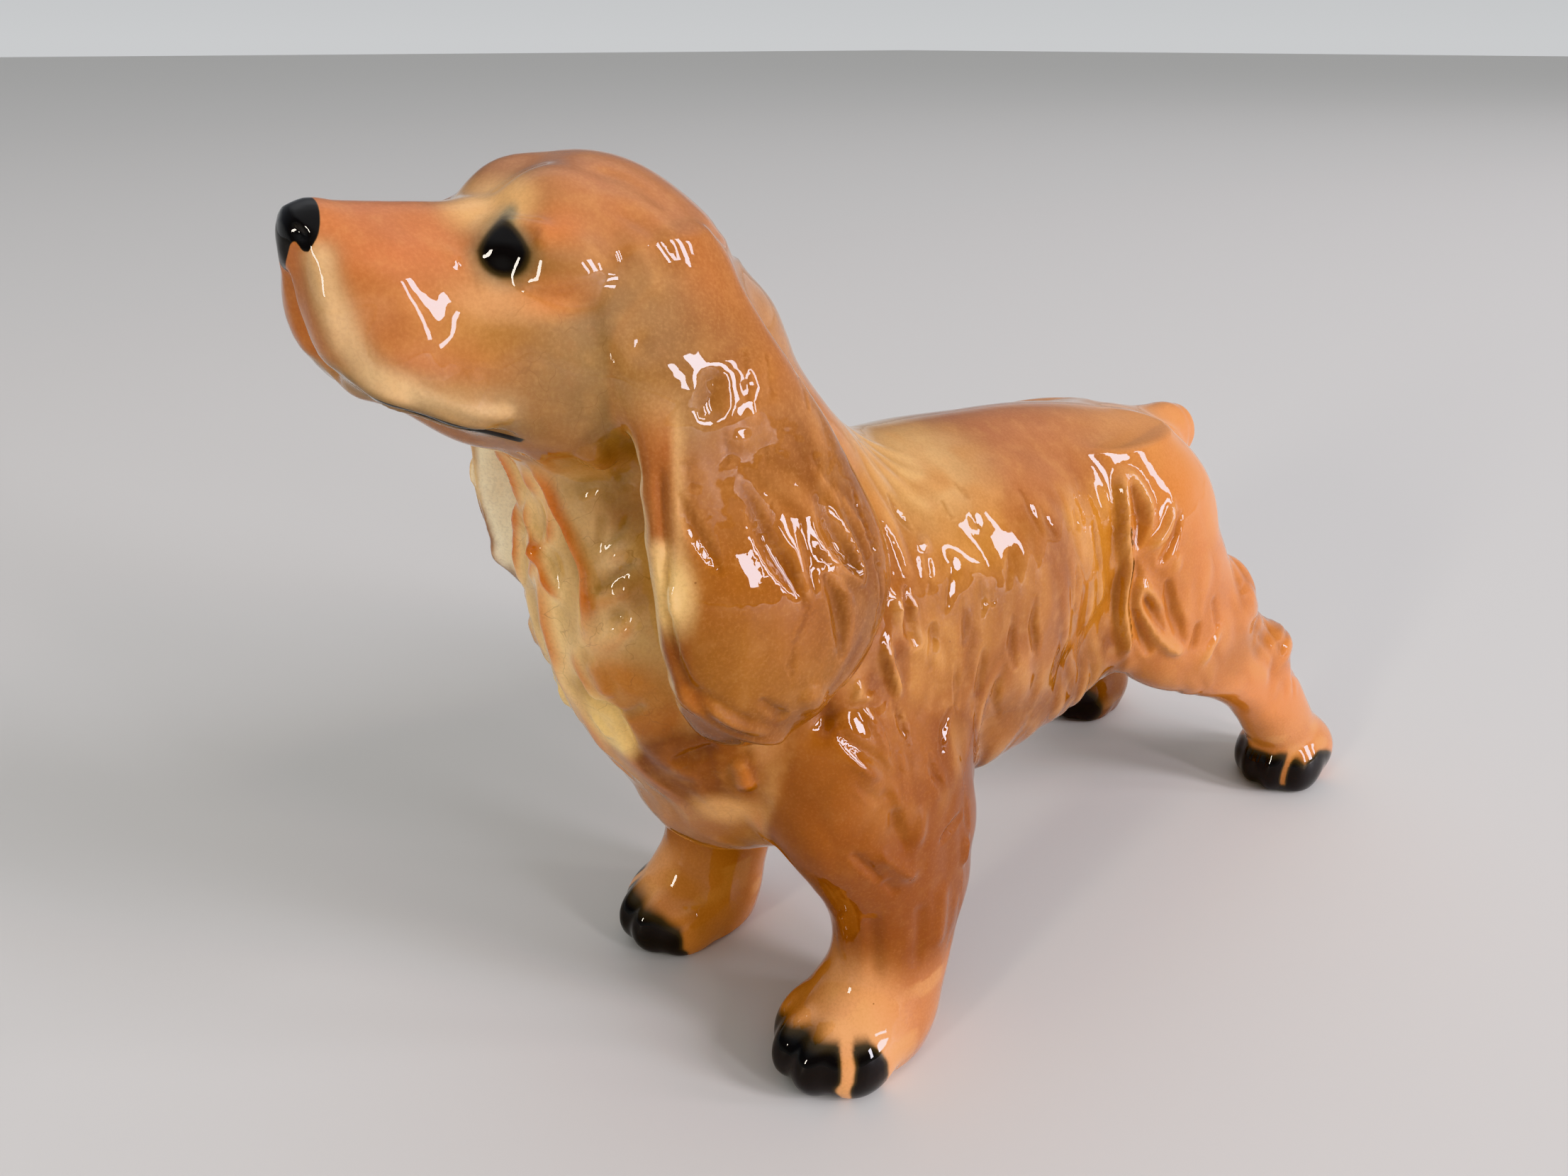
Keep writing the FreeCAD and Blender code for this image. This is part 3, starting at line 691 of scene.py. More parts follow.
    ("t", 1.4, 0.45, (20.7, 38.7, 50.3), (21.6, 40.7, 47.4), (22.2, 41.1, 44.9)),
    ("t", 1.4, 0.45, (21.5, 49.2, 37.4), (22.7, 53.6, 33.3), (23.9, 54.6, 29.6)),
    ("t", 1.2, -0.40, (21.8, 36.1, 47.6), (22.5, 40.2, 42.7), (22.3, 47, 36.4)),
    ("t", 1.2, -0.40, (23.4, 44.9, 33.5), (24.1, 51.2, 28.1), (24.5, 55.8, 23)),
    ("f", 0.6, 0.50, (22, -53.1, 65.1), (22.4, -52.8, 62.1), (22.3, -53.8, 62.1)),
    ("f", 0.6, 0.45, (22.4, -52.8, 62.1), (22.7, -50.5, 61)),
    ("f", 1.1, -0.65, (23, -47.1, 58.5), (23.3, -47, 56), (23.8, -46.3, 53.2)),
    ("f", 0.6, 0.45, (23, -47.7, 59.8), (23.1, -48.4, 57.1), (23.7, -47.3, 54), (24.1, -46, 52.2), (23.7, -45.5, 54.3), (23.2, -46.3, 57.3), (23, -47.7, 59.8)),
    ("f", 1.2, -0.60, (21.9, -56.6, 57.9), (22.6, -54.4, 55.9), (23.5, -51.2, 53.3)),
    ("f", 0.8, 0.45, (22.3, -56.1, 54.8), (23.1, -54, 53.1), (23.9, -51.5, 51.3)),
    ("f", 0.8, -0.45, (22.7, -55.8, 51.6), (23.6, -54.6, 49), (24.5, -52.1, 46.9)),
    ("f", 0.7, 0.40, (21.8, -48.3, 68.9), (22.5, -47.9, 64.8), (22.8, -46.2, 60.6), (23.2, -44.6, 56.2), (24.1, -44.2, 51.9), (25.1, -44.7, 48.5)),
    ("f", 1.3, -0.60, (24.9, -43, 49.3), (25.4, -42.3, 46.1), (25.6, -41.8, 43.9)),
    ("f", 0.9, -0.45, (22.8, -51.9, 59.8), (23.3, -49.9, 55.8), (24.2, -48.2, 51.6), (24.9, -47.4, 48.1)),
    ("f", 0.8, 0.40, (22.7, -50.5, 60.6), (23.2, -48.9, 56.4), (24.1, -47.3, 52.2), (25.1, -46.2, 48.2)),
    ("f", 1.2, -0.40, (25.6, -61.2, 66.9), (21.8, -56.6, 60.7), (21.6, -57.5, 58.5)),
    ("f", 1.3, -0.50, (24.8, -36.8, 42.3), (24.9, -35.2, 37.7), (25.1, -35.8, 34.2)),
    ("f", 1.2, 0.45, (25.1, -40.6, 46.8), (25.8, -43, 42.3), (25.9, -42.6, 36.1), (25.6, -42.3, 29.4), (25.3, -42.6, 22.8)),
    ("f", 1.2, -0.50, (24.8, -36.8, 44.2), (25.6, -39.5, 39.7), (25.7, -39, 33.7), (25.5, -38.8, 27)),
    ("f", 1.2, 0.45, (24.4, -33, 36), (25.1, -35, 31.8), (25, -34.8, 26), (25.1, -36.3, 21.1)),
    ("f", 1.1, -0.40, (24.9, -34.2, 19.8), (25.2, -36, 17.1), (25.6, -37.8, 13.4)),
    ("f", 1.1, -0.35, (25, -51.8, 39.6), (25.4, -49.2, 36.9), (25.7, -45.8, 34)),
    ("f", 1.0, 0.35, (24.8, -47.9, 49), (25.7, -46.5, 43.9), (25.9, -45.8, 38.5), (25.5, -46.6, 33.4)),
    ("f", 1.3, -0.30, (24.2, -51.1, 50.1), (25.1, -50.4, 45.3), (25.4, -49.9, 40.3)),
    ("c", 1.0, 0.75, (5.5, -87.3, 95.8), (-0.7, -82.5, 89.3), (-2.2, -81.7, 84.6), (-0.2, -82.1, 81.8), (1.8, -82.2, 78.7), (3.2, -82, 77.6)),
    ("c", 1.2, -0.70, (2.9, -84.8, 93.4), (1, -82, 88.2), (1.1, -81.8, 84.5), (2.7, -81.9, 80.4), (3.9, -81.8, 78.1)),
    ("c", 1.0, 0.85, (8.5, -86.7, 96.6), (6.7, -84.2, 94.1), (4.4, -81.5, 89.5), (5.8, -80.8, 85.4), (7.1, -80.4, 81.6), (7.7, -80.5, 78.3), (7.5, -80.7, 75.6)),
    ("c", 1.0, 0.70, (7.5, -80.7, 75.6), (5.3, -81.3, 71), (4.6, -80.8, 67.2), (5.2, -79.8, 63.9), (7.4, -78.7, 62.9), (7.7, -77.4, 59.6)),
    ("c", 1.0, 0.60, (-0.4, -82.2, 80.6), (0.4, -82.6, 75.5), (0.1, -81.8, 69), (0.6, -80.8, 64.2), (1.5, -78.8, 58.6), (1.2, -76.4, 52.8), (2.9, -72.3, 46.7)),
    ("c", 1.2, -0.65, (3.2, -82.1, 77.2), (3.1, -81.8, 72.7), (2.9, -81.5, 68.4), (3, -80.2, 63.7), (4.8, -78.9, 61)),
    ("c", 1.6, -0.50, (7.2, -80.6, 79.7), (9, -79.3, 79.6), (10.4, -77.6, 81.5), (11.1, -76, 82.8)),
    ("c", 1.5, -0.45, (8.3, -80.3, 76.2), (10.2, -78.7, 76.4), (11.6, -77, 78), (19.7, -81, 83.6)),
    ("c", 1.5, -0.45, (8.5, -80, 71.8), (10.8, -78.4, 73), (12, -77.1, 74.6)),
    ("c", 1.5, -0.40, (7, -80.1, 84.1), (8.8, -78.7, 85), (10.4, -76.5, 86.4), (19.3, -80.5, 91.6)),
    ("c", 1.0, 0.40, (7.1, -80.3, 82.3), (8.8, -79, 82.1), (10.5, -76.7, 83.9), (19.5, -80.7, 89.3)),
    ("c", 1.0, 0.40, (7.9, -80.4, 78), (9.9, -78.7, 78.2), (11.4, -76.7, 80.1)),
    ("c", 1.0, 0.40, (8.5, -80.2, 73.9), (10.6, -78.6, 75), (12.1, -76.6, 76.9)),
    ("c", 1.3, -0.55, (5.6, -80, 65), (7, -78.9, 63.3), (7.7, -78.1, 61.6)),
    ("c", 1.2, -0.50, (9.5, -77.5, 62.7), (10.8, -76.9, 64.3), (11.9, -76.6, 66.4)),
    ("c", 1.2, 0.45, (8.9, -79.2, 68.5), (10.5, -77.9, 66.6), (11.8, -76.9, 67.7)),
    ("c", 2.2, -0.70, (10.7, -72.9, 54.8), (13.4, -71.5, 56.9), (22, -73.9, 63.5)),
    ("c", 1.2, 0.60, (15.9, -66.4, 51.1), (17.5, -65.7, 54.8), (18, -65.4, 57.1)),
    ("c", 1.2, -0.45, (15.7, -68.5, 56.4), (15.7, -67.7, 53.8), (14.4, -68.1, 51)),
    ("c", 1.2, 0.40, (6.1, -77.3, 57.9), (5.8, -75.2, 53.7), (6.8, -72.8, 50.5), (9.3, -70.8, 49)),
    ("c", 1.2, -0.45, (7.9, -76.7, 58.6), (8.2, -74.4, 54.6), (9.9, -72, 52.2), (12.9, -69.4, 51.3)),
    ("b", 1.0, -0.45, (6.5, -44.6, 95.3), (5.9, -40.8, 90.8), (8.7, -38.8, 86.5), (11.8, -37.8, 82.4)),
    ("b", 1.0, 0.40, (6.1, -42, 91.9), (9, -40.8, 87.8), (12.2, -39.9, 83.5), (15.4, -40.6, 80.3)),
    ("b", 1.1, -0.50, (12.9, -40.5, 83), (14.7, -40.5, 81), (15.9, -39.4, 78.9)),
    ("b", 1.0, 0.40, (24.1, -53.5, 86.2), (24.6, -51.9, 82.2), (25, -51.5, 78.3), (25.4, -52.8, 74.8)),
    ("b", 1.2, -0.45, (17, -38.1, 76.8), (18.5, -39.2, 75)),
]
# STROKES END

# modelled ridges and grooves, the same layout
RIDGES = [
    ("e", 0.5, 0.40, (26.5, -66.8, 88.5), (27.1, -67.0, 85.7), (27.5, -67.0, 82.6), (27.8, -66.1, 79.8)),
    ("e", 0.5, 0.35, (26.4, -64.4, 88.7), (26.9, -63.7, 85.9), (27.3, -61.4, 82.9), (27.2, -59.2, 81.2), (27.0, -58.6, 81.5), (26.8, -58.7, 83.3), (26.1, -59.5, 86.9), (25.5, -60.5, 90.2)),
    ("e", 0.5, 0.30, (27.8, -65.3, 79.7), (27.5, -65.1, 82.0), (27.4, -65.0, 83.9), (27.4, -63.8, 83.7), (27.6, -61.9, 81.3), (27.5, -60.4, 78.3)),
    ("e", 1.2, 0.55, (21.9, -79.5, 74.0), (23.2, -78.3, 71.9), (24.5, -76.1, 70.1), (25.0, -73.7, 67.9), (24.9, -69.8, 65.0), (24.3, -66.0, 63.0)),
    ("e", 0.6, 0.30, (22.2, -69.7, 101.9), (22.9, -69.6, 100.2), (23.2, -69.6, 99.4)),
    ("e", 0.5, 0.30, (23.5, -72.0, 97.9), (23.4, -71.6, 98.5), (23.6, -71.1, 98.4), (23.8, -70.7, 97.4)),
    ("b", 0.6, 0.40, (21.9, -48.4, 68.0), (22.4, -48.0, 65.1), (22.8, -47.1, 62.0), (23.1, -46.3, 59.3)),
    ("b", 0.6, 0.30, (16.3, -37.3, 77.6), (17.4, -38.1, 76.3), (18.2, -39.0, 75.3)),
    ("b", 0.6, 0.30, (20.2, -44.5, 73.3), (20.9, -45.5, 71.5), (21.7, -45.7, 68.9)),
    ("b", 0.6, 0.30, (20.3, -43.0, 72.4), (21.0, -42.8, 70.2), (21.5, -43.0, 68.5)),
    ("t", 0.9, 0.85, (14.7, 6.6, 75.4), (15.9, 5.9, 72.5), (17.1, 5.6, 69.0), (17.7, 5.3, 65.8), (18.3, 6.1, 61.7), (18.2, 6.2, 57.5), (18.2, 6.8, 52.4), (18.8, 7.4, 48.7), (18.8, 8.3, 45.3)),
    ("t", 0.6, 0.55, (14.5, 6.7, 75.7), (15.9, 8.6, 74.2), (17.8, 9.9, 71.0), (19.0, 10.4, 67.8)),
    ("t", 0.7, 0.65, (18.8, 14.9, 70.6), (19.7, 13.9, 67.7), (20.0, 12.2, 65.3), (19.4, 9.2, 63.3)),
    ("t", 0.8, 0.70, (20.9, 13.6, 52.3), (20.2, 11.0, 55.8), (19.4, 9.0, 57.5), (19.1, 8.7, 55.9), (19.4, 9.5, 53.0), (20.3, 11.7, 49.8), (21.0, 14.8, 46.5), (21.8, 18.2, 44.0), (22.1, 20.1, 43.9)),
    ("t", 0.9, 0.50, (22.8, 29.2, 44.7), (22.8, 26.5, 42.0), (22.7, 25.2, 39.1)),
    ("t", 1.1, -0.15, (15.6, 4.3, 72.2), (17.3, 3.6, 66.1), (17.7, 4.4, 57.8), (17.7, 4.9, 51.6), (18.1, 4.1, 47.1)),
    ("t", 0.8, 0.30, (20.9, 15.2, 62.8), (21.4, 15.0, 57.8)),
    ("f", 0.5, 0.45, (22.3, -53.0, 63.9), (22.4, -52.8, 62.1)),
    ("f", 0.5, 0.45, (22.4, -52.8, 62.1), (22.3, -54.1, 62.1)),
    ("f", 0.5, 0.45, (22.4, -52.8, 62.1), (22.7, -51.3, 61.4), (22.9, -50.2, 60.5)),
    ("f", 0.6, 0.40, (22.6, -52.8, 61.5), (22.8, -51.7, 58.7), (23.2, -50.7, 55.4), (23.9, -50.3, 52.5)),
    ("f", 0.5, 0.35, (23.6, -48.4, 54.2), (24.3, -47.7, 51.6), (24.9, -47.2, 49.3)),
    ("f", 0.5, 0.45, (22.4, -55.7, 54.8), (23.0, -54.1, 53.4), (23.5, -53.0, 52.1), (23.9, -51.7, 51.3)),
    ("f", 0.6, 0.40, (24.6, -48.9, 49.6), (25.0, -48.8, 47.2), (25.5, -47.9, 44.3)),
    ("f", 1.0, 0.50, (24.9, -52.1, 40.4), (25.4, -49.9, 37.9), (25.6, -46.7, 34.5), (25.7, -44.4, 33.1)),
    ("f", 1.0, 0.40, (25.7, -44.5, 45.0), (26.0, -45.1, 41.1), (25.8, -45.8, 37.9)),
    ("f", 1.2, -0.55, (25.8, -59.2, 68.2), (25.1, -59.6, 65.2), (21.4, -57.8, 60.5), (21.1, -59.1, 57.8)),
    ("f", 1.2, -0.25, (23.3, -50.6, 28.8), (22.6, -49.3, 20.9), (23.4, -49.4, 15.3)),
    ("f", 1.0, 0.25, (19.9, -54.2, 29.1), (18.8, -51.7, 22.2), (19.2, -51.4, 17.3)),
    ("f", 1.1, -0.30, (25.5, -43.4, 28.2), (25.3, -43.1, 21.8), (25.5, -43.8, 16.0)),
    ("f", 1.1, 0.30, (25.5, -39.5, 29.8), (25.5, -39.2, 23.5), (25.6, -39.7, 17.5)),
    ("c", 0.8, 0.70, (-2.5, -81.9, 87.6), (-2.6, -81.6, 84.6), (-0.9, -81.9, 82.6), (1.2, -82.2, 80.7), (2.0, -82.2, 78.8), (3.2, -82.0, 77.6), (4.2, -81.7, 78.4)),
    ("c", 0.9, 0.95, (4.6, -84.9, 94.0), (3.9, -83.0, 92.6), (4.0, -81.8, 90.3), (4.4, -81.4, 87.9), (5.1, -81.1, 86.0), (6.1, -80.7, 83.7), (7.0, -80.5, 81.8), (7.3, -80.6, 79.4), (7.6, -80.7, 76.9), (7.5, -80.7, 75.0), (7.8, -80.5, 73.3)),
    ("c", 0.7, -0.50, (3.8, -81.5, 88.4), (4.3, -81.2, 86.0), (5.3, -81.0, 83.5), (6.1, -81.0, 81.6), (6.4, -81.0, 79.2)),
    ("c", 0.9, 0.50, (7.8, -80.5, 73.3), (8.6, -80.0, 72.7), (9.9, -79.1, 73.3), (11.1, -78.1, 74.8), (11.6, -77.3, 76.7)),
    ("c", 1.2, 0.50, (8.6, -79.2, 82.8), (9.7, -78.0, 83.2), (10.6, -76.5, 84.2)),
    ("c", 1.2, 0.50, (8.4, -80.2, 77.7), (9.7, -78.9, 78.4), (11.2, -77.2, 79.6)),
    ("c", 0.7, -0.80, (4.0, -81.1, 68.0), (3.9, -80.7, 65.6), (4.3, -80.1, 64.0), (5.4, -79.5, 63.2), (7.1, -78.8, 63.2), (7.8, -78.0, 61.6), (7.5, -77.2, 59.0), (7.1, -75.9, 56.0)),
    ("c", 1.2, -0.70, (5.7, -81.2, 90.5), (8.5, -79.4, 91.0), (10.5, -77.1, 91.7), (19.9, -80.8, 96.2)),
    ("c", 0.5, 0.30, (7.0, -80.3, 89.4), (8.3, -79.3, 90.2), (9.4, -78.4, 90.9)),
    ("e", 0.5, -0.40, (20.6, -79.0, 97.5), (21.2, -79.4, 93.0), (21.8, -79.6, 88.0), (22.0, -79.6, 83.0), (22.4, -79.0, 78.5), (23.0, -77.8, 74.0), (23.6, -75.6, 70.2), (24.2, -72.6, 67.4), (24.6, -69.4, 65.8)),
]

# thumbed hollows and swellings: (where, depth, rim, (x, y, z, half width)...);
# a negative depth is a swelling
DENTS = [
    ("e", 0.75, 0.25, (22.9, -78.3, 94.1, 0.35), (23.3, -78.0, 92.6, 0.76), (24.0, -77.4, 90.5, 0.97), (24.9, -76.4, 88.2, 0.91), (25.6, -75.5, 86.2, 0.35)),
    ("e", 0.90, 0.20, (24.8, -72.1, 94.1, 0.35), (25.5, -71.1, 91.8, 1.06), (26.3, -70.3, 89.0, 1.42), (26.8, -69.2, 85.8, 1.44), (27.5, -67.8, 82.7, 0.8), (27.8, -66.5, 80.1, 0.35)),
    ("e", 0.30, 0.15, (25.7, -68.9, 91.8, 0.35), (26.3, -68.6, 89.6, 0.57), (26.6, -68.3, 88.1, 0.35)),
    ("e", 0.90, 0.25, (25.5, -62.9, 91.3, 0.44), (26.2, -62.4, 88.9, 1.18), (26.7, -61.4, 86.0, 1.64), (27.0, -59.9, 83.0, 1.14), (27.0, -58.8, 81.2, 0.35)),
    ("e", 0.60, 0.20, (27.5, -64.4, 83.3, 0.37), (27.7, -63.2, 80.3, 1.2), (27.8, -62.4, 77.1, 1.52), (27.4, -62.2, 73.7, 0.7)),
    ("e", 0.35, 0.15, (27.7, -67.2, 79.8, 0.35), (27.8, -68.0, 78.3, 0.59), (27.6, -68.7, 77.3, 0.35)),
    ("e", 0.30, 0.12, (27.6, -68.7, 76.4, 0.37), (27.5, -69.0, 75.0, 0.6), (27.3, -68.7, 73.3, 0.35)),
    ("e", 0.70, 0.00, (21.3, -73.5, 104.1, 1.52), (21.9, -74.1, 102.0, 1.73)),
    ("e", 0.40, 0.20, (20.7, -69.1, 106.0, 0.35), (21.6, -69.6, 103.5, 0.56), (22.5, -70.3, 101.0, 0.42)),
    ("e", 0.35, 0.15, (23.0, -73.0, 99.5, 0.35), (23.6, -72.9, 97.4, 0.56), (23.9, -73.0, 96.7, 0.35)),
    ("e", 0.25, 0.10, (23.7, -68.6, 97.9, 0.35), (24.2, -68.4, 96.5, 0.43), (24.4, -68.2, 95.7, 0.35)),
    ("e", 0.30, 0.20, (20.5, -66.5, 105.0, 0.35), (21.3, -66.8, 103.3, 0.5), (22.0, -66.7, 101.6, 0.35)),
    ("e", 0.30, 0.12, (22.5, -77.5, 97.2, 0.35), (23.1, -77.2, 95.6, 0.41), (23.3, -77.0, 94.7, 0.35)),
    ("e", 0.40, 0.25, (24.3, -56.2, 89.6, 0.35), (25.5, -55.9, 85.8, 0.46), (26.1, -55.3, 81.2, 0.55), (26.3, -55.2, 77.4, 0.48), (26.4, -56.0, 74.6, 0.35)),
    ("e", 0.35, 0.10, (26.5, -71.8, 71.1, 0.75), (26.4, -69.2, 68.5, 0.92)),
    ("e", 0.30, 0.00, (24.1, -78.0, 73.6, 0.59), (25.0, -76.0, 71.5, 0.74), (25.6, -73.2, 69.0, 0.76)),
    ("e", 0.30, 0.20, (18.7, -61.7, 104.5, 0.35), (19.7, -61.7, 102.5, 0.45), (21.7, -61.7, 99.5, 0.37)),
    ("e", 0.35, 0.20, (24.0, -62.2, 95.3, 0.35), (24.4, -61.1, 93.2, 0.52), (24.9, -59.5, 91.0, 0.45), (25.5, -58.5, 88.5, 0.35)),
    ("e", -0.40, 0.00, (26.8, -65.6, 70.0, 1.86), (26.5, -64.9, 68.6, 1.88)),
    ("e", -0.55, 0.00, (22.7, -80.1, 84.2, 0.85), (22.9, -80.1, 82.4, 0.92)),
    ("e", -0.30, 0.00, (21.8, -80.3, 89.0, 0.49), (22.0, -80.3, 87.8, 0.49)),
    ("b", 0.60, 0.20, (13.3, -40.7, 82.6, 0.36), (14.7, -40.5, 81.0, 0.8), (15.8, -39.6, 79.2, 0.8), (16.2, -39.1, 78.3, 0.35)),
    ("b", 0.35, 0.15, (14.1, -31.5, 79.6, 0.37), (15.3, -31.6, 78.6, 0.65), (15.8, -31.2, 77.9, 0.35)),
    ("b", 0.45, 0.15, (13.0, -28.0, 81.0, 0.47), (13.9, -27.6, 80.2, 0.66), (14.9, -27.5, 79.4, 0.35)),
    ("b", 0.30, 0.10, (16.3, -28.1, 77.7, 0.38), (17.3, -27.9, 76.5, 0.56), (17.7, -27.7, 75.8, 0.35)),
    ("b", 0.40, 0.15, (19.6, -23.8, 72.6, 0.38), (20.3, -24.5, 70.5, 0.77), (21.0, -25.3, 67.9, 0.48)),
    ("b", 0.50, 0.15, (21.6, -19.6, 64.8, 0.49), (22.0, -20.2, 61.3, 1.19), (22.0, -19.2, 57.7, 1.21), (21.8, -18.2, 55.6, 0.41)),
    ("b", 0.70, 0.25, (20.1, -43.6, 73.2, 0.44), (21.1, -44.0, 70.6, 1.05), (21.7, -43.7, 67.8, 1.5), (22.0, -43.0, 65.9, 0.89)),
    ("b", 0.50, 0.10, (21.4, -39.5, 66.8, 0.9), (21.9, -40.0, 64.2, 1.27), (22.2, -40.4, 61.4, 0.55)),
    ("b", 0.40, 0.10, (18.9, -34.0, 73.2, 0.37), (20.0, -35.7, 70.6, 0.73), (20.9, -36.7, 68.2, 0.55)),
    ("b", 0.40, 0.10, (20.3, -29.9, 70.0, 0.56), (20.9, -29.9, 67.7, 0.85), (21.3, -30.5, 65.4, 0.57)),
    ("b", 0.30, 0.10, (20.9, -28.3, 68.2, 0.38), (21.2, -28.2, 66.6, 0.57)),
    ("b", 0.40, 0.10, (21.8, -30.2, 60.3, 0.76), (21.8, -30.3, 57.1, 1.16), (21.7, -30.5, 53.3, 0.58)),
    ("b", 0.40, 0.10, (20.5, -33.4, 68.6, 0.55), (21.2, -33.6, 65.4, 0.93), (21.7, -34.1, 62.6, 0.65)),
    ("b", 0.30, 0.00, (17.3, -14.8, 75.8, 0.4), (18.2, -14.5, 73.9, 0.7), (19.0, -13.3, 71.7, 0.5)),
    ("b", 0.30, 0.00, (15.6, -17.7, 78.5, 0.49), (17.4, -17.3, 75.9, 0.79), (18.9, -16.5, 73.0, 0.5)),
    ("b", 0.40, 0.10, (21.7, -24.5, 63.7, 0.58), (22.0, -24.7, 60.1, 1.08), (21.9, -23.5, 55.8, 0.7)),
    ("b", 0.35, 0.10, (21.9, -26.4, 54.6, 0.59), (21.3, -26.1, 50.9, 1.0), (20.6, -24.2, 47.6, 0.51)),
    ("b", 0.40, 0.10, (21.0, -12.2, 53.2, 0.53), (20.5, -11.9, 50.0, 0.85)),
    ("b", 0.45, 0.10, (22.7, -36.9, 54.5, 0.57), (23.4, -38.9, 52.4, 0.94), (24.3, -39.8, 49.9, 0.75)),
    ("b", 0.40, 0.10, (22.0, -35.5, 60.1, 0.56), (22.1, -35.2, 56.8, 0.85), (22.5, -35.6, 53.9, 0.57)),
    ("b", 0.35, 0.10, (17.4, -38.6, 76.4, 0.45), (18.9, -38.6, 74.0, 0.72), (20.1, -39.1, 71.2, 0.45)),
    ("b", 0.35, 0.10, (19.8, -8.7, 65.8, 0.52), (20.3, -8.4, 62.6, 0.94), (20.8, -8.8, 59.5, 0.63)),
    ("b", 0.30, 0.00, (16.8, -1.3, 69.5, 0.54), (17.9, -1.3, 66.5, 0.86), (18.3, -0.4, 63.0, 0.65)),
    ("b", 0.30, 0.00, (16.7, -6.7, 73.0, 0.52), (17.9, -7.0, 70.8, 0.83)),
    ("t", 1.00, 0.20, (16.3, 7.6, 72.8, 0.78), (17.5, 8.0, 70.2, 1.45), (18.5, 8.5, 67.5, 1.57), (18.6, 7.6, 64.9, 1.01)),
    ("t", 0.70, 0.10, (19.9, 15.9, 67.8, 0.69), (20.5, 14.5, 64.8, 1.26), (20.5, 12.1, 61.6, 1.15)),
    ("t", 0.60, 0.10, (21.2, 14.0, 56.9, 1.05), (21.5, 15.6, 52.1, 1.65), (21.8, 18.2, 47.6, 1.69), (22.1, 19.8, 45.2, 0.73)),
    ("t", 0.50, 0.00, (19.7, 10.1, 55.0, 0.58), (20.4, 12.2, 51.8, 0.82), (21.1, 14.2, 48.9, 0.59)),
    ("t", 0.80, 0.10, (19.0, 8.6, 53.4, 0.69), (19.8, 10.2, 49.1, 1.29), (20.1, 12.5, 45.4, 1.19)),
    ("t", 0.40, 0.00, (18.7, 7.2, 62.1, 0.56), (19.2, 8.2, 59.4, 0.91)),
    ("t", 0.40, 0.00, (22.5, 22.8, 47.1, 0.98), (22.5, 22.4, 43.7, 1.23)),
    ("t", 0.40, 0.00, (22.4, 26.8, 50.5, 0.99), (22.6, 28.3, 46.0, 1.0)),
    ("f", 0.75, 0.10, (21.8, -56.4, 58.0, 0.6), (22.3, -55.0, 56.5, 0.87), (23.1, -53.0, 54.4, 1.06), (24.0, -50.8, 51.7, 0.89), (24.6, -48.9, 49.8, 0.36)),
    ("f", 0.30, 0.15, (22.0, -56.0, 59.3, 0.43), (22.1, -55.3, 57.5, 0.52)),
    ("f", 0.60, 0.15, (23.0, -55.0, 51.9, 0.44), (23.9, -53.3, 49.6, 0.89), (24.5, -51.6, 47.8, 0.72)),
    ("f", 0.80, 0.35, (23.0, -47.5, 59.7, 0.35), (23.1, -46.8, 57.0, 0.81), (23.6, -46.0, 54.3, 0.63), (24.0, -45.7, 53.1, 0.35)),
    ("f", 0.30, 0.15, (24.4, -51.3, 49.3, 0.54), (24.7, -50.4, 48.0, 0.72)),
    ("f", 0.70, 0.30, (24.4, -42.4, 50.6, 0.46), (24.9, -42.3, 48.6, 0.84), (25.2, -41.1, 46.0, 0.94), (25.4, -40.5, 44.4, 0.48)),
    ("f", 0.60, 0.00, (25.4, -49.4, 44.9, 1.1), (25.7, -48.8, 42.1, 1.49), (25.8, -47.8, 39.7, 0.94)),
    ("f", 0.35, 0.10, (24.0, -54.9, 40.4, 0.74), (24.5, -52.8, 37.7, 0.94), (24.7, -51.0, 35.2, 0.76)),
    ("f", 0.40, 0.00, (24.8, -49.8, 34.1, 0.77), (25.0, -48.2, 31.9, 0.78)),
    ("f", 0.60, 0.10, (24.9, -35.7, 38.5, 0.6), (25.6, -38.1, 38.1, 0.98), (25.8, -40.4, 37.0, 0.78)),
    ("f", -0.50, 0.00, (24.9, -34.1, 32.8, 1.22), (24.8, -34.2, 30.4, 1.23)),
    ("c", 0.80, 0.00, (10.0, -78.7, 78.5, 1.57), (10.3, -78.7, 76.5, 1.42)),
    ("c", 0.60, 0.00, (10.3, -76.5, 87.5, 0.46), (9.8, -77.4, 85.7, 0.77), (8.9, -78.6, 84.3, 0.62)),
    ("c", 0.60, 0.00, (10.8, -76.7, 82.5, 0.62), (9.8, -78.5, 80.7, 1.01), (8.5, -79.8, 79.4, 0.71)),
    ("c", 0.50, 0.00, (8.5, -78.8, 87.3, 0.92), (8.1, -79.2, 84.8, 0.77)),
    ("c", -0.90, 0.00, (7.2, -80.3, 69.1, 1.47), (7.8, -79.5, 66.5, 1.48)),
    ("c", -0.60, 0.00, (3.9, -79.0, 60.4, 0.95), (4.5, -78.0, 58.3, 0.95)),
    ("c", 0.70, 0.00, (7.9, -78.5, 63.2, 0.59), (9.2, -77.6, 62.9, 1.0), (10.9, -76.8, 64.3, 0.66)),
    ("c", 0.90, 0.00, (11.5, -72.7, 55.6, 0.86), (13.0, -71.7, 56.5, 1.37), (14.8, -70.1, 57.7, 1.02)),
    ("c", -0.60, 0.00, (16.6, -67.0, 54.8, 1.37), (16.6, -66.0, 51.8, 1.57)),
    ("c", -0.90, 0.00, (12.8, -82.0, 96.6, 1.73), (11.3, -80.0, 94.9, 1.77)),
]


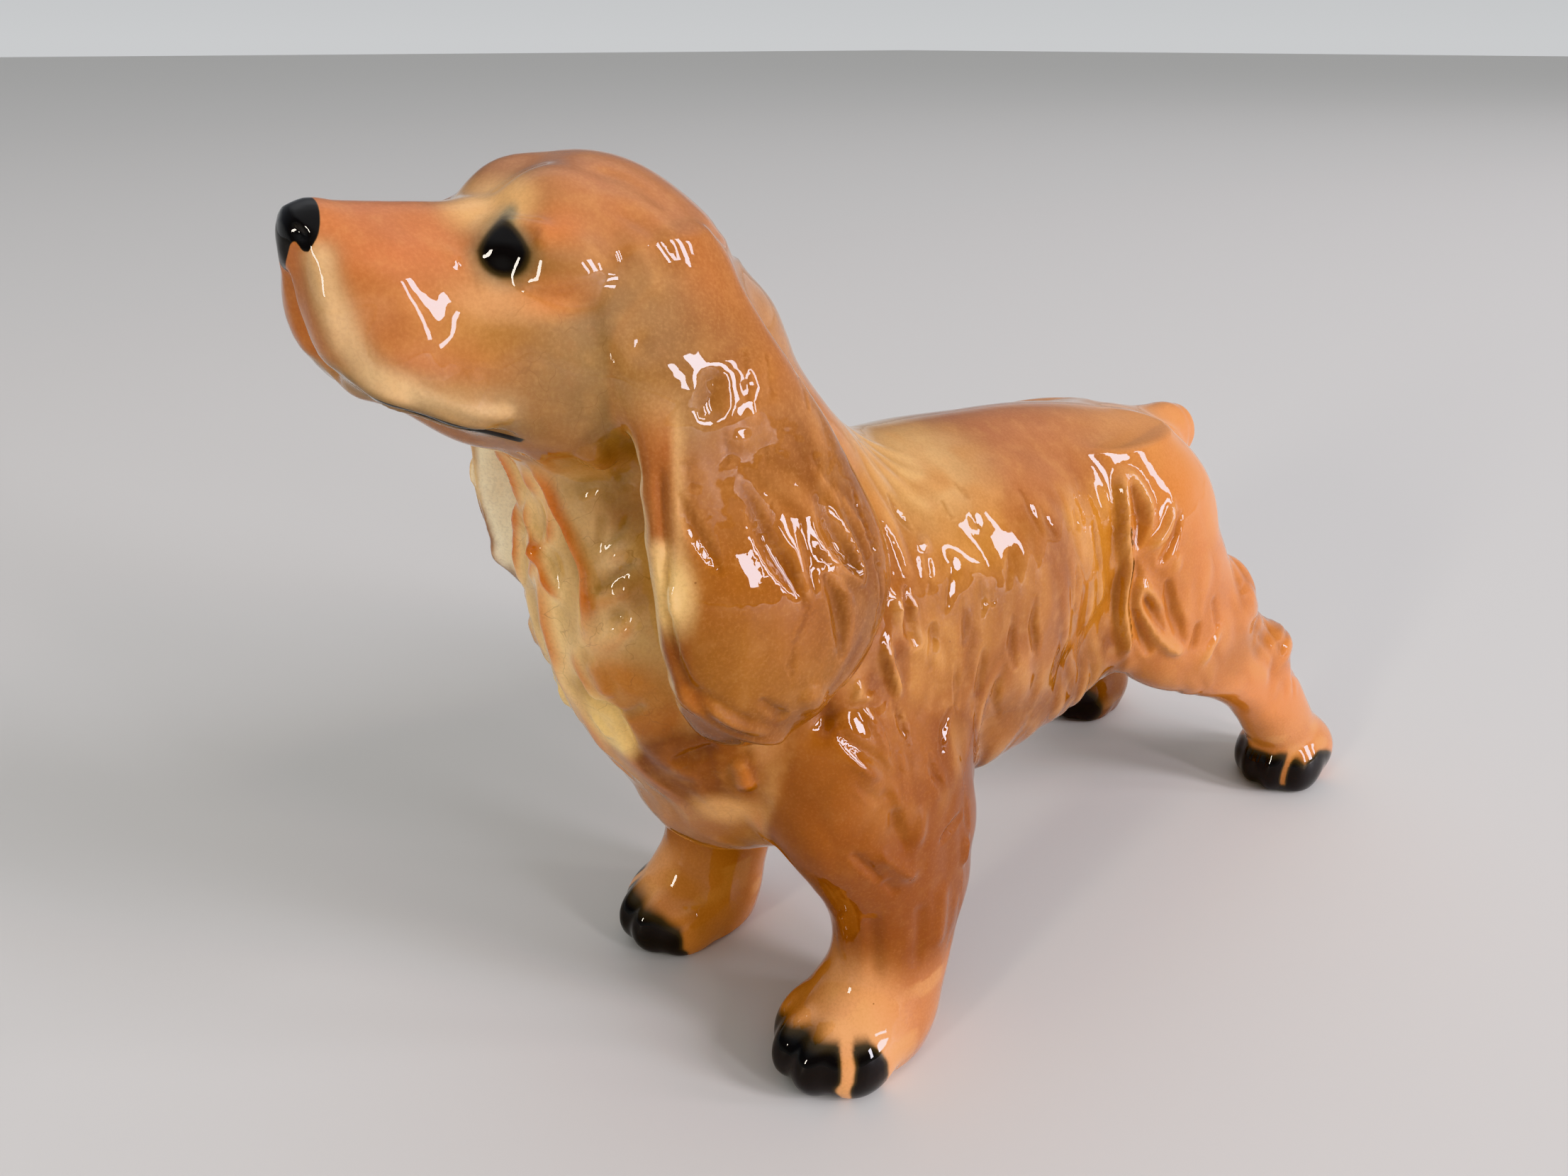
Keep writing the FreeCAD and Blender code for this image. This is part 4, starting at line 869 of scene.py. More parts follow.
def curve(points, spacing=0.6):
    """Points along a Catmull-Rom curve, with the share of the length at each."""
    P = np.array(points, float)
    P = np.concatenate([[2 * P[0] - P[1]], P, [2 * P[-1] - P[-2]]])
    out = []
    for i in range(1, len(P) - 2):
        n = max(2, int(np.linalg.norm(P[i + 1] - P[i]) / spacing))
        for t in np.arange(n) / n:
            out.append(0.5 * ((2 * P[i]) + (-P[i - 1] + P[i + 1]) * t + (2 * P[i - 1] - 5 * P[i] + 4 * P[i + 1] - P[i + 2]) * t * t
                              + (-P[i - 1] + 3 * P[i] - 3 * P[i + 1] + P[i + 2]) * t ** 3))
    out.append(P[-2])
    out = np.array(out)
    d_ = np.concatenate([[0], np.cumsum(np.linalg.norm(np.diff(out, axis=0), axis=1))])
    return out, d_


Vb, Nb = V.copy(), N.copy()


def draw(points, width, height, tone=1.0, seed=0, on=None, taper=2.5):
    """Raise or sink the surface along a curve; the profile is a bell of the given width."""
    C, run = curve(points)
    L = run[-1]
    lo, hi = C.min(0) - 2.6 * width, C.max(0) + 2.6 * width
    m_ = np.all((Vb > lo) & (Vb < hi), axis=1)
    if on is not None:
        m_ &= on
    idx = np.nonzero(m_)[0]
    if len(idx) == 0:
        return
    P_ = Vb[idx]
    best = np.full(len(idx), 1e9)
    at = np.zeros(len(idx))
    for i in range(len(C) - 1):
        ax = C[i + 1] - C[i]
        l2 = float(ax @ ax) + 1e-9
        t = np.clip(((P_ - C[i]) @ ax) / l2, 0, 1)
        dd = np.linalg.norm(P_ - C[i] - t[:, None] * ax, axis=1)
        b2 = dd < best
        at = np.where(b2, run[i] + t * (run[i + 1] - run[i]), at)
        best = np.minimum(best, dd)
    tp = min(taper, L * 0.45)
    end = step(at, 0, tp) * 0.85 + 0.15
    end = end * (step(L - at, 0, tp) * 0.85 + 0.15)
    g = np.exp(-(best / width) ** 2)
    disp[idx] += height * g * end
    shade[idx] += np.sign(height) * min(1.0, abs(height) / 0.5) * g * end * tone


def dent(points, half, depth, rim, tone=1.0):
    """Press a hollow along a curve, its half width given at each point, with a raised rim."""
    C, run = curve(points)
    knots = [run[int(np.argmin(np.linalg.norm(C - p, axis=1)))] for p in points]
    wide = max(half)
    lo, hi = C.min(0) - 2.2 * wide, C.max(0) + 2.2 * wide
    idx = np.nonzero(np.all((Vb > lo) & (Vb < hi), axis=1))[0]
    if len(idx) == 0:
        return
    P_ = Vb[idx]
    best = np.full(len(idx), 1e9)
    at = np.zeros(len(idx))
    for i in range(len(C) - 1):
        ax = C[i + 1] - C[i]
        l2 = float(ax @ ax) + 1e-9
        t = np.clip(((P_ - C[i]) @ ax) / l2, 0, 1)
        dd = np.linalg.norm(P_ - C[i] - t[:, None] * ax, axis=1)
        b2 = dd < best
        at = np.where(b2, run[i] + t * (run[i + 1] - run[i]), at)
        best = np.minimum(best, dd)
    W = np.maximum(np.interp(at, knots, half), 0.45)
    q_ = best / W
    inside = np.clip(1 - q_ * q_, 0, 1) ** 1.25
    local = np.minimum(abs(depth), 0.5 * W) * np.sign(depth)
    lip = np.exp(-((q_ - 1.08) / 0.30) ** 2) * np.clip(W / wide, 0.3, 1) ** 0.5
    disp[idx] += -local * inside + rim * lip
    k_ = min(1.0, abs(depth) / 0.6) * np.sign(depth)
    shade[idx] += (-0.75 * k_ * inside + 0.8 * min(1.0, rim / 0.25) * lip) * tone


rng = np.random.RandomState(5)


def right_side(P_, where):
    """Where a spot of the left side lies on the right, where the legs stand differently."""
    R_ = P_ * np.array([-1.0, 1.0, 1.0]) + rng.uniform(-0.4, 0.4, P_.shape) + rng.uniform(-0.6, 0.6, 3)
    if where == "e":
        R_ += np.array([0.4, 1.0, 1.0])
    elif where == "f":
        R_[:, 1] -= np.where(R_[:, 2] < 16, 3.6, np.clip(3.6 * (58 - R_[:, 2]) / 42.0, 0, 3.6))
    elif where == "t":
        R_[:, 1] += np.array([back_right(z) for z in R_[:, 2]])
    return R_


def on_skin(P_):
    return np.array([tuple(mesh_tree.find_nearest(Vector(p))[0]) for p in P_])


mesh_tree = BVHTree.FromPolygons([tuple(v) for v in Vb], [tuple(int(i) for i in q_) for q_ in Q])
SHARE = {"e": 0.0, "b": 0.12, "t": 0.35, "f": 0.3, "c": 0.45, "h": 1.1}
DEEP = {"e": 1.7, "b": 3.2, "t": 1.4, "f": 1.6, "c": 1.3}
for where, width, height, *points in STROKES:
    if SHARE[where] == 0:
        continue
    P_ = np.array(points, float)
    draw(on_skin(P_), width, height * SHARE[where], tone=0.6)
    draw(on_skin(right_side(P_, where)), width * 1.05, height * SHARE[where] * rng.uniform(0.75, 1.05), tone=0.6)
for where, width, height, *points in RIDGES:
    P_ = np.array(points, float)
    height *= DEEP[where]
    draw(on_skin(P_), width, height)
    draw(on_skin(right_side(P_, where)), width * 1.05, height * rng.uniform(0.75, 1.05))
for where, depth, rim, *points in DENTS:
    P_ = np.array(points, float)
    depth *= DEEP[where]
    dent(on_skin(P_[:, :3]), P_[:, 3], depth, rim)
    dent(on_skin(right_side(P_[:, :3], where)), P_[:, 3] * rng.uniform(0.85, 1.1), depth * rng.uniform(0.8, 1.05), rim)

# lips: the line of the mouth, the rolled edge over it, the split under the nose
MOUTH = [(3.2, -102.3, 105.9), (4.6, -101.6, 104.9), (5.8, -100.4, 104.1), (6.9, -99.0, 103.4), (7.8, -96.8, 102.3),
         (8.8, -94.6, 101.2), (9.3, -92.4, 100.2), (9.6, -90.0, 99.2), (9.9, -88.2, 98.5)]
for sx in (1.0, -1.0):
    flip_ = np.array([sx, 1.0, 1.0])
    for pts, wd, hg, tn in (
            (MOUTH[2:], 0.6, -0.5, 0.0),
            ([(8.6, -98.2, 105.8), (9.4, -96.2, 104.7), (10.6, -94.2, 103.5), (11.1, -91.9, 102.4), (11.8, -89.0, 101.6)], 0.9, 0.42, 0.3),
            ([(4.6, -103.2, 107.2), (6.4, -101.4, 105.8), (7.8, -99.2, 104.7), (9.0, -96.6, 103.4), (10.0, -93.6, 102.0), (10.6, -90.6, 100.9)], 0.8, 0.35, 0.3),
            ([(9.8, -90.4, 106.5), (10.6, -92.4, 105.2), (10.0, -95.4, 106.8)], 1.4, -0.25, 0.0),
            ([(7.4, -91.2, 118.2), (7.2, -91.6, 116.4), (7.8, -91.4, 114.6)], 0.7, 0.35, 0.2),
            ([(8.2, -88.0, 120.4), (10.0, -86.2, 120.0), (11.4, -84.6, 118.4), (12.0, -84.8, 116.0)], 0.8, 0.45, 0.3),
            ([(8.0, -90.4, 113.6), (10.0, -88.6, 112.8), (12.2, -85.8, 113.6)], 0.9, 0.30, 0.3)):
        pp = [mesh_tree.find_nearest(Vector(np.array(p) * flip_))[0] for p in pts]
        draw([tuple(p) for p in pp], wd, hg * (0.5 if sx < 0 and pts[0][2] > 113 else 1.0), tone=tn, taper=1.5)
draw([(0, -104.4, 115.6), (0, -104.4, 113.5), (0, -104.0, 110), (0, -103.0, 107), (0, -101.5, 104.5)], 0.8, -0.8, tone=0.0, taper=0.8)
# nostrils
for sx in (1.0, -1.0):
    draw([(sx * 2.1, -104.2, 119.4), (sx * 3.0, -103.6, 118.6), (sx * 3.4, -102.6, 118.2)], 0.55, -0.55, tone=0.0, taper=0.8)

# the soft lie of the wet-looking glaze over it all
m0 = disp.copy()
for _ in range(1):
    m0 = m0 + 0.5 * (np.bincount(A, weights=m0[B], minlength=len(V)) / np.bincount(A, minlength=len(V)) - m0)
# the root of the ear and the shoulder blade lie smoother
calm = band(Z, 84, 92, 120, 126) * step(np.abs(X), 14, 17) * (1 - step(Y, -60, -56))
calm = np.maximum(calm, band(Y, -44, -38, -12, -6) * band(Z, 67, 71, 84, 88))
for _ in range(3):
    m0 = m0 + 0.5 * calm * (np.bincount(A, weights=m0[B], minlength=len(V)) / np.bincount(A, minlength=len(V)) - m0)
disp = m0

# keep the soles flat
keep = step(Z, 0.6, 3.0)
disp *= keep
V = V + N * disp[:, None]
V = taubin(V, A, B, 1)
N = vertex_normals(V, Q)
print("relief %.1fs" % (time.time() - T0))

# ---------------------------------------------------------------------------
# airbrushed colour, one value per vertex

def lin(r, g, b_):
    c = np.array([r, g, b_], float) / 255.0
    return np.where(c <= 0.04045, c / 12.92, ((c + 0.055) / 1.055) ** 2.4)


X, Y, Z = V[:, 0], V[:, 1], V[:, 2]
nx, ny, nz = N[:, 0], N[:, 1], N[:, 2]
AX = np.abs(X)
col = np.tile(lin(172, 108, 56), (len(V), 1))


def tint(w_, rgb, strength=1.0):
    global col
    w_ = np.clip(w_ * strength, 0, 1)[:, None]
    col = col * (1 - w_) + lin(*rgb) * w_


def blob(c, r, edge=0.45):
    k = np.sqrt(((X - c[0]) / r[0]) ** 2 + ((Y - c[1]) / r[1]) ** 2 + ((Z - c[2]) / r[2]) ** 2)
    return 1 - step(k, 1 - edge, 1 + edge)


def blob2(c, r, edge=0.45):
    """The same on both sides."""
    k = np.sqrt(((AX - c[0]) / r[0]) ** 2 + ((Y - c[1]) / r[1]) ** 2 + ((Z - c[2]) / r[2]) ** 2)
    return 1 - step(k, 1 - edge, 1 + edge)


def trail(points, wide, mirror=True, edge=0.7):
    """Weight of an airbrushed line through the points, wide mm to each side."""
    out_ = np.zeros(len(V))
    for sx in ((1.0, -1.0) if mirror else (1.0,)):
        C, _run = curve([(p[0] * sx, p[1], p[2]) for p in points], 1.2)
        lo_, hi_ = C.min(0) - 2 * wide, C.max(0) + 2 * wide
        idx = np.nonzero(np.all((V > lo_) & (V < hi_), axis=1))[0]
        if len(idx) == 0:
            continue
        best = np.full(len(idx), 1e9)
        for p, q_ in zip(C[:-1], C[1:]):
            ax = q_ - p
            t = np.clip(((V[idx] - p) @ ax) / (float(ax @ ax) + 1e-9), 0, 1)
            best = np.minimum(best, np.linalg.norm(V[idx] - p - t[:, None] * ax, axis=1))
        out_[idx] = np.maximum(out_[idx], 1 - step(best / wide, 1 - edge, 1 + edge))
    return out_


n_big = noise(V + 50, 16, 3)
n_mid = noise(V + 90, 6, 4)
n_sm = noise(V + 10, 2.2, 6)
hair = noise(V + 33, (3.0, 3.4, 12), 21)          # streaks along the coat
hair2 = noise(V + 71, (5.5, 6.5, 20), 22)
S = soft
ears = S["ear_l"] + S["ear_r"]
fores = S["fore_l"] + S["fore_r"]
hinds = S["hind_l"] + S["hind_r"]
head = S["head"]
bodyw = S["body"]
rear = bodyw + hinds + S["tail"]

# body: brown gold flank, rosy back, and a rump painted lighter and peach as painted light
tint(bodyw * step(Z, 44, 66), (158, 99, 54), 0.9)
tint(bodyw * step(hair2, -0.1, 0.6) * band(Y, -44, -34, 12, 20), (186, 124, 58), 0.8)
tint(bodyw * step(hair, 0.0, 0.6) * band(Y, -44, -34, 12, 20) * (1 - step(Z, 72, 80)), (196, 142, 74), 0.35)
tint(bodyw * step(-hair, 0.0, 0.6) * band(Y, -44, -34, 12, 20) * (1 - step(Z, 72, 80)), (128, 70, 34), 0.4)
tint(bodyw * step(-hair2, 0.1, 0.7) * band(Y, -44, -34, 8, 16), (134, 76, 38), 0.75)
tint(bodyw * (1 - step(Z, 44, 58)) * (1 - step(Y, 8, 18)), (126, 72, 20), 0.8)
tint(bodyw * step(Z, 70, 79) * step(Y, -30, -12), (166, 106, 68), 0.85)
tint(bodyw * step(Z, 79, 84) * step(Y, -30, -12), (176, 110, 72), 0.6)
tint(bodyw * band(Y, -8, 2, 10, 18) * band(Z, 48, 54, 64, 76), (180, 118, 54), 0.7)
# painted light: the rear and the top of the rump are painted lighter and peach where the light falls strongest
tint(rear * step(Y, 8, 22) * step(Z, 34, 46), (198, 122, 66), 0.9)
tint(rear * step(Y, 16, 32) * step(Z, 56, 68), (222, 146, 84), 0.85)
tint(rear * band(Y, 2, 8, 13, 22) * band(Z, 40, 48, 66, 74), (190, 118, 60), 0.7)
tint((bodyw + head) * blob2((7, -33, 84), (12, 12, 11), 0.6), (200, 156, 98), 0.95)
tint((bodyw + head) * blob2((9, -30, 82), (10, 10, 9), 0.6) * step(hair, -0.2, 0.6), (182, 124, 66), 0.7)
tint(bodyw * blob2((18, -30, 52), (9, 17, 12), 0.7), (150, 92, 46), 0.55)
# forelegs, and the breast painted darker as shade
upper = step(Z + 2.5 * n_mid + 1.5 * hair, 40, 60)
tint(fores, (122, 60, 12), 0.95)
tint(fores * upper, (150, 92, 42), 0.75)
tint(bodyw * blob2((21, -44, 56), (8, 17, 13), 0.7), (142, 84, 36), 0.6)
tint((fores + bodyw * blob2((21, -44, 58), (9, 16, 12), 0.6)) * step(Z, 38, 48) * step(hair, 0.05, 0.55) * step(Y, -56, -50), (204, 146, 78), 0.45)
tint((fores + bodyw * blob2((21, -44, 58), (9, 16, 12), 0.6)) * step(Z, 36, 46) * step(-hair, 0.1, 0.6), (124, 64, 22), 0.5)
tint(fores * step(Y, -42, -34) * step(Z, 14, 22), (112, 56, 12), 0.6)
# painted shade: the breast between the forelegs is painted darker for the dim light it gets
tint(bodyw * (1 - step(Z, 46, 62)) * (1 - step(Y, -46, -28)), (134, 70, 18), 0.9)
tint((fores + bodyw) * blob2((18, -56, 46), (9, 10, 14), 0.7), (152, 86, 32), 0.6)
tint(fores * (1 - step(Z, 11, 20)), (196, 126, 76), 0.7)
tint(fores * (1 - step(Z, 13, 24)) * step(-Y, 44, 52), (232, 166, 108), 0.8)
tint(hinds * (1 - step(Z, 26, 40)), (226, 138, 74), 0.7)
tint(hinds * (1 - step(Z, 13, 24)), (184, 120, 72), 0.75)
inleg = (hinds + fores) * step(-nx * side, 0.0, 0.6)
tint(inleg, (174, 104, 40), 0.65)
# painted shade: the inner face of the far hind leg, under the belly, is painted near black brown
tint(hinds * (X < 0) * step(nx * side * -1, 0.0, 0.6), (84, 40, 8), 0.85)
# painted light: the croup is painted lighter where the light falls on the rear
tint(rear * blob2((3, 20, 78), (12, 14, 6), 0.8), (204, 142, 84), 0.7)
# head
tint(head * step(Z, 94, 102), (156, 108, 66), 0.95)
tint(head * step(Z, 110, 118) * step(Y, -88, -76), (170, 106, 62), 0.9)
tint(head * (1 - step(Y, -93, -86)) * step(Z, 104, 108), (172, 108, 66), 0.95)
tint(head * (1 - step(Y, -94, -88)) * step(Z, 114, 117), (186, 108, 62), 0.7)
tint(head * blob2((12, -79, 106), (8, 9, 8), 0.7), (132, 110, 76), 0.85)
tint(head * blob2((15, -75, 102), (6, 7, 6), 0.7), (142, 114, 72), 0.8)
tint((head + ears) * blob2((18, -76, 108), (5, 5, 8), 0.7), (134, 98, 60), 0.7)
tint(head * blob2((10, -91, 110.5), (3.5, 5, 3.0), 0.8), (166, 122, 68), 0.6)
tint(head * blob2((11.0, -88.0, 112.4), (3.4, 4.4, 1.8), 0.7), (206, 148, 96), 0.7)
tint(head * blob2((6.6, -87.6, 121.0), (4.4, 3.6, 2.8), 0.6), (230, 180, 112), 0.95)
tint(head * blob((2.5, -85.2, 120.8), (4.6, 3.8, 2.2), 0.6), (238, 184, 118), 0.85)
tint(head * blob2((12.5, -84.0, 119.6), (2.6, 3.0, 2.4), 0.7), (206, 112, 52), 0.55)
tint(head * blob2((12.8, -84.4, 112.6), (2.8, 3.2, 1.8), 0.7), (204, 116, 56), 0.5)
# pale band along the lips and under the nose, olive below it
LIP = [(4.6, -102.9, 116.4), (5.2, -102.9, 114.2), (6.1, -102.7, 112.1), (6.6, -102.2, 109.2), (7.7, -101.1, 106.9), (9.4, -99.0, 105.3),
       (10.2, -96.4, 104.2), (11.3, -93.5, 103.0), (12.0, -90.4, 102.6)]
lipz = np.interp(Y, [-104, -102, -99, -96, -92, -88, -84], [106.9, 105.4, 103.8, 102.6, 101.0, 99.8, 99.4])
ends = 1 - step(Y, -91, -85.5)
dl = Z - lipz + 0.4 * n_mid
tint(head * ends * band(dl, -2.2, -0.8, 0.6, 2.4), (150, 118, 78), 0.85)
tint(head * trail(LIP, 1.8, edge=0.8), (166, 138, 98), 0.65)
tint(head * trail(LIP[:6], 1.3, edge=0.8), (218, 178, 128), 0.75)
tint(head * trail(LIP[4:], 0.7, edge=0.8), (222, 184, 132), 0.5)
tint(head * blob2((0.2, -104, 108.5), (1.6, 3.0, 5.0), 0.6), (188, 108, 50), 0.7)
tint(head * (Y < -84) * (1 - step(Z - np.interp(Y, [-103, -99, -92, -87], [105.5, 103.4, 100.2, 98.0]), -1.4, -0.3)), (160, 98, 48), 0.9)
# throat: pale olive hollow with orange ridges
thr = (head + bodyw) * (1 - step(Y, -66, -54)) * (1 - step(AX, 15, 20)) * band(Z, 24, 40, 90, 97)
tint(thr, (230, 192, 136), 0.92)
tint(thr * step(n_mid, -0.3, 0.5) * step(Z, 55, 66), (212, 188, 136), 0.7)
tint(thr * blob2((12, -72, 90), (7, 8, 5), 0.7), (156, 98, 50), 0.75)
tint(thr * (1 - step(Z, 52, 68)), (206, 138, 76), 0.7)
# painted shade: the breast under the throat is painted dark brown for the dim light there
tint(thr * (1 - step(Z, 36, 56)), (146, 78, 14), 0.85)
tint(thr * (1 - step(AX, 1, 5)) * step(Z, 56, 66), (246, 206, 142), 0.85)
tint(thr * blob2((1.7, -82, 76), (6, 6, 7), 0.6), (250, 212, 148), 0.8)
tint(thr * blob2((10.6, -78, 80), (4, 5, 6), 0.6), (244, 196, 138), 0.7)
tint(thr * blob2((11.5, -81.5, 97), (5, 6, 4), 0.6), (196, 134, 76), 0.7)
tint((thr + bodyw) * blob2((11, -77, 63.5), (4.5, 6, 5), 0.6), (182, 108, 48), 0.6)
# painted shade: a dark brown patch on the breast below the ear
tint((thr + bodyw) * blob2((13, -71, 53), (8, 8, 7.5), 0.5), (122, 62, 6), 0.88)
# ears: a darker brown, partly their own colour and partly painted shade
tint(ears * (1 - step(Z, 96, 108)), (138, 78, 30), 0.95)
tint(ears * step(Z, 82, 98), (144, 94, 54), 0.85)
front = Y - np.interp(Z, [62, 66, 70, 76, 84, 92, 100, 106, 112], [-70, -75, -77.5, -79.8, -80.3, -79.8, -79.2, -78.6, -77.4])
tint(ears * step(Z, 98, 106) * step(Y, -76, -70), (164, 102, 58), 0.7)
tint(ears * band(Z, 96, 101, 112, 118) * (1 - step(Y, -77, -72)), (150, 116, 74), 0.6)
tint(ears * (1 - step(front, 0.6, 2.6)) * band(Z, 86, 91, 100, 106), (208, 162, 104), 0.85)
tint(ears * (1 - step(front, 0.3, 1.4)) * step(nx * side, -0.4, 0.3) * band(Z, 68, 74, 99, 105) * (X > 0), (142, 64, 22), 0.8)
tint(ears * trail([(21.4, -80.6, 88.0), (21.8, -80.8, 84.6), (21.8, -80.6, 81.6)], 1.3, edge=0.8), (240, 190, 128), 0.95)
tint(ears * blob2((25, -66, 71), (6, 8, 5), 0.8), (142, 96, 42), 0.5)
# partly the ear's own dark rim, partly painted shade: the lower edge of the ear is painted darkest
tint(ears * (1 - step(Z, 64, 72)), (108, 56, 14), 0.9)
tint(ears * step(front, 11, 20) * (1 - step(Z, 92, 102)), (136, 84, 42), 0.85)
tint(ears * blob2((20.8, -74.0, 107), (4, 6, 5), 0.8), (132, 92, 56), 0.6)
tint(ears * blob2((25.5, -74.5, 76), (5, 6, 6.0), 0.8), (150, 100, 46), 0.55)
tint(ears * blob2((22.4, -80.0, 84.0), (2.8, 2.0, 4.0), 0.7), (254, 216, 146), 0.85)
inner = ears * step(-nx * side, 0.0, 0.5)
tint(inner, (255, 244, 210), 0.97)
# locks: deeper colour in the hollows, paler on the crests
sh_ = np.clip(shade, -1.5, 1.5)
dark = np.clip(-sh_, 0, 1.2)
col *= (1 - 0.26 * dark * (1 - 0.6 * np.clip(fores, 0, 1)))[:, None] ** np.array([1.0, 1.35, 1.9])
tint(np.clip(sh_, 0, 1) * (bodyw + hinds), (232, 176, 104), 0.30)
tint(np.clip(sh_, 0, 1) * ears, (196, 132, 76), 0.35)
tint(np.clip(sh_, 0, 1) * fores, (160, 92, 38), 0.25)
tint(np.clip(sh_, 0, 1) * thr, (208, 106, 34), 0.9)
# painted shade: a brown strip down the hollow between the throat and the ear
tint(thr * blob2((11.0, -76.6, 84.0), (2.6, 3.4, 7.5), 0.7) * (0.6 + 0.4 * n_mid), (146, 96, 46), 0.35)
tint(thr * blob2((10.6, -76.8, 88.0), (2.6, 3.0, 3.0), 0.8), (140, 92, 44), 0.6)
tint(thr * blob2((11.4, -76.8, 79.3), (2.4, 3.0, 2.4), 0.8), (146, 96, 46), 0.6)
tint(thr * blob2((9.8, -78.4, 83.6), (2.0, 2.4, 2.0), 0.8), (238, 204, 150), 0.5)
tint(thr * blob2((9.0, -80.2, 74.6), (2.8, 3.0, 2.6), 0.7), (238, 196, 138), 0.8)
tint((thr + bodyw) * blob2((10.4, -78.4, 67.6), (4.4, 5.0, 3.8), 0.8), (188, 118, 54), 0.5)
tint((thr + bodyw) * blob2((5.4, -78.4, 60.0), (2.4, 4.0, 4.6), 0.7), (240, 202, 128), 0.85)
tint((thr + bodyw) * blob2((12.5, -67.0, 46.4), (3.0, 3.6, 2.6), 0.8), (214, 156, 92), 0.6)
tint(dark * thr * step(Z, 58, 66), (160, 136, 92), 0.45)
# broad unevenness of the spray
col *= (1 + 0.06 * n_big + 0.06 * n_mid + 0.03 * n_sm)[:, None] ** np.array([0.8, 1.0, 1.3])
tint((0.5 + 0.5 * hair) * (1 - 0.8 * np.clip(fores, 0, 1)), (214, 150, 70), 0.10)
tint(bodyw * blob2((19, -29, 67), (6, 10, 7), 0.8), (138, 86, 40), 0.5)
tint(fores * step(Z, 16, 26) * (1 - step(Z, 36, 50)), (128, 66, 18), 0.5)

# black: toes and eyes
ink = np.zeros(len(V))


def soft_ball(c, r, a_=0.72, b_=1.18):
    k = np.sqrt(((X - c[0]) / r[0]) ** 2 + ((Y - c[1]) / r[1]) ** 2 + ((Z - c[2]) / r[2]) ** 2)
    return 1 - step(k + 0.07 * n_sm, a_, b_)


for sx in (1, -1):
    # forefoot: painted over the toes in two patches, with a bare stripe between
    cx, cy = (19.0, -50.0) if sx > 0 else (-18.6, -52.4)
    th = np.degrees(np.arctan2(sx * (X - cx), -(Y - cy))) + 3.0 * n_sm + 1.5 * n_mid
    foot = np.clip(soft["fore_l" if sx > 0 else "fore_r"], 0, 1) * (Y < -44)
    top = np.interp(th, [-60, -40, -15, 15, 36, 50, 66, 82], [4.5, 6.2, 8.0, 8.6, 8.4, 8.6, 8.4, 6.0])
    patch_ = np.maximum(band(th, -60, -48, 33.5, 43.0), band(th, 47.0, 55, 73, 86))
    ink = np.maximum(ink, foot * patch_ * (1 - step(Z + 0.8 * n_mid, top - 1.2, top + 3.0)))
    # hind foot
    cx, cy = (21.0, 67.4) if sx > 0 else (-21.0, 58.4)
    a1 = soft_ball((cx, cy - 9.0, 3.2), (10.5, 5.8, 6.4))
    a2 = soft_ball((cx + sx * 8.0, cy - 2.5, 3.0), (2.8, 7.0, 6.0))
    a1 *= 1 - 0.8 * band(sx * (X - cx), 4.0, 4.5, 4.9, 5.5) * step(Z, 1.5, 3)
    ink = np.maximum(ink, np.maximum(a1, a2))
    # eye: a drop, wider below
    c = np.array([sx * 9.8, -87.9, 116.4 if sx > 0 else 115.4])
    u_ = (X - c[0]) * sx * 0.58 + (Y - c[1]) * 0.81
    v_ = Z - c[2]
    wide = 2.5 - 0.44 * np.clip(v_, 0, 3)
    k = np.sqrt((u_ / wide) ** 2 + (v_ / np.where(v_ > 0, 2.7, 2.35)) ** 2)
    near = (sx * X > 4) & (Y < -80) & (Y > -96)
    eye = (1 - step(k, 0.58, 1.24)) * near
    halo = (1 - step(k, 0.9, 1.75)) * near
    smear = np.clip(1 - np.sqrt(((u_ + 0.9 - 0.45 * v_) / 1.0) ** 2 + ((v_ - 2.6) / 1.5) ** 2), 0, 1) * near
    col_h = np.clip(0.55 * halo + 0.9 * smear, 0, 0.8)
    col = col * (1 - col_h[:, None]) + lin(116, 112, 84) * col_h[:, None]
    ink = np.maximum(ink, eye)
# thin ochre haze round the toes
paws = (Z < 14) * np.clip(fores + hinds, 0, 1)
tint(paws * step(noise(V + 5, (2.2, 6, 3), 8), 0.0, 0.6) * (1 - ink), (226, 170, 104), 0.25)
col = np.clip(col, 0.0, 1.0)
craze = np.clip(head * blob2((12, -79, 104), (9, 12, 11), 0.5) + thr * 0.9 + ears * blob2((21, -70, 70), (8, 9, 9), 0.6) * 0.6, 0, 1)
print("paint %.1fs" % (time.time() - T0))

# ---------------------------------------------------------------------------
# glaze materials

def node(nt, kind, **kw):
    n = nt.nodes.new(kind)
    for k, v in kw.items():
        setattr(n, k, v)
    return n


class Maths:
    """Short hand for chains of math nodes."""

    def __init__(self, nt):
        self.nt = nt

    def put(self, sock, v):
        if isinstance(v, (int, float)):
            sock.default_value = v
        else:
            self.nt.links.new(v, sock)

    def op(self, o, a_, b_=0.0, c=None, clamp=False):
        n = node(self.nt, "ShaderNodeMath", operation=o, use_clamp=clamp)
        self.put(n.inputs[0], a_)
        self.put(n.inputs[1], b_)
        if c is not None:
            self.put(n.inputs[2], c)
        return n.outputs[0]

    def ramp(self, v, a_, b_, lo=0.0, hi=1.0):
        n = node(self.nt, "ShaderNodeMapRange", interpolation_type="SMOOTHSTEP")
        self.put(n.inputs["Value"], v)
        n.inputs["From Min"].default_value = a_
        n.inputs["From Max"].default_value = b_
        n.inputs["To Min"].default_value = lo
        n.inputs["To Max"].default_value = hi
        return n.outputs[0]

    def mix(self, fac, a_, b_, blend_="MIX"):
        n = node(self.nt, "ShaderNodeMix", data_type="RGBA", blend_type=blend_)
        self.put(n.inputs[0], fac)
        for sock, v in ((n.inputs[6], a_), (n.inputs[7], b_)):
            if isinstance(v, tuple):
                sock.default_value = v
            else:
                self.nt.links.new(v, sock)
        return n.outputs[2]


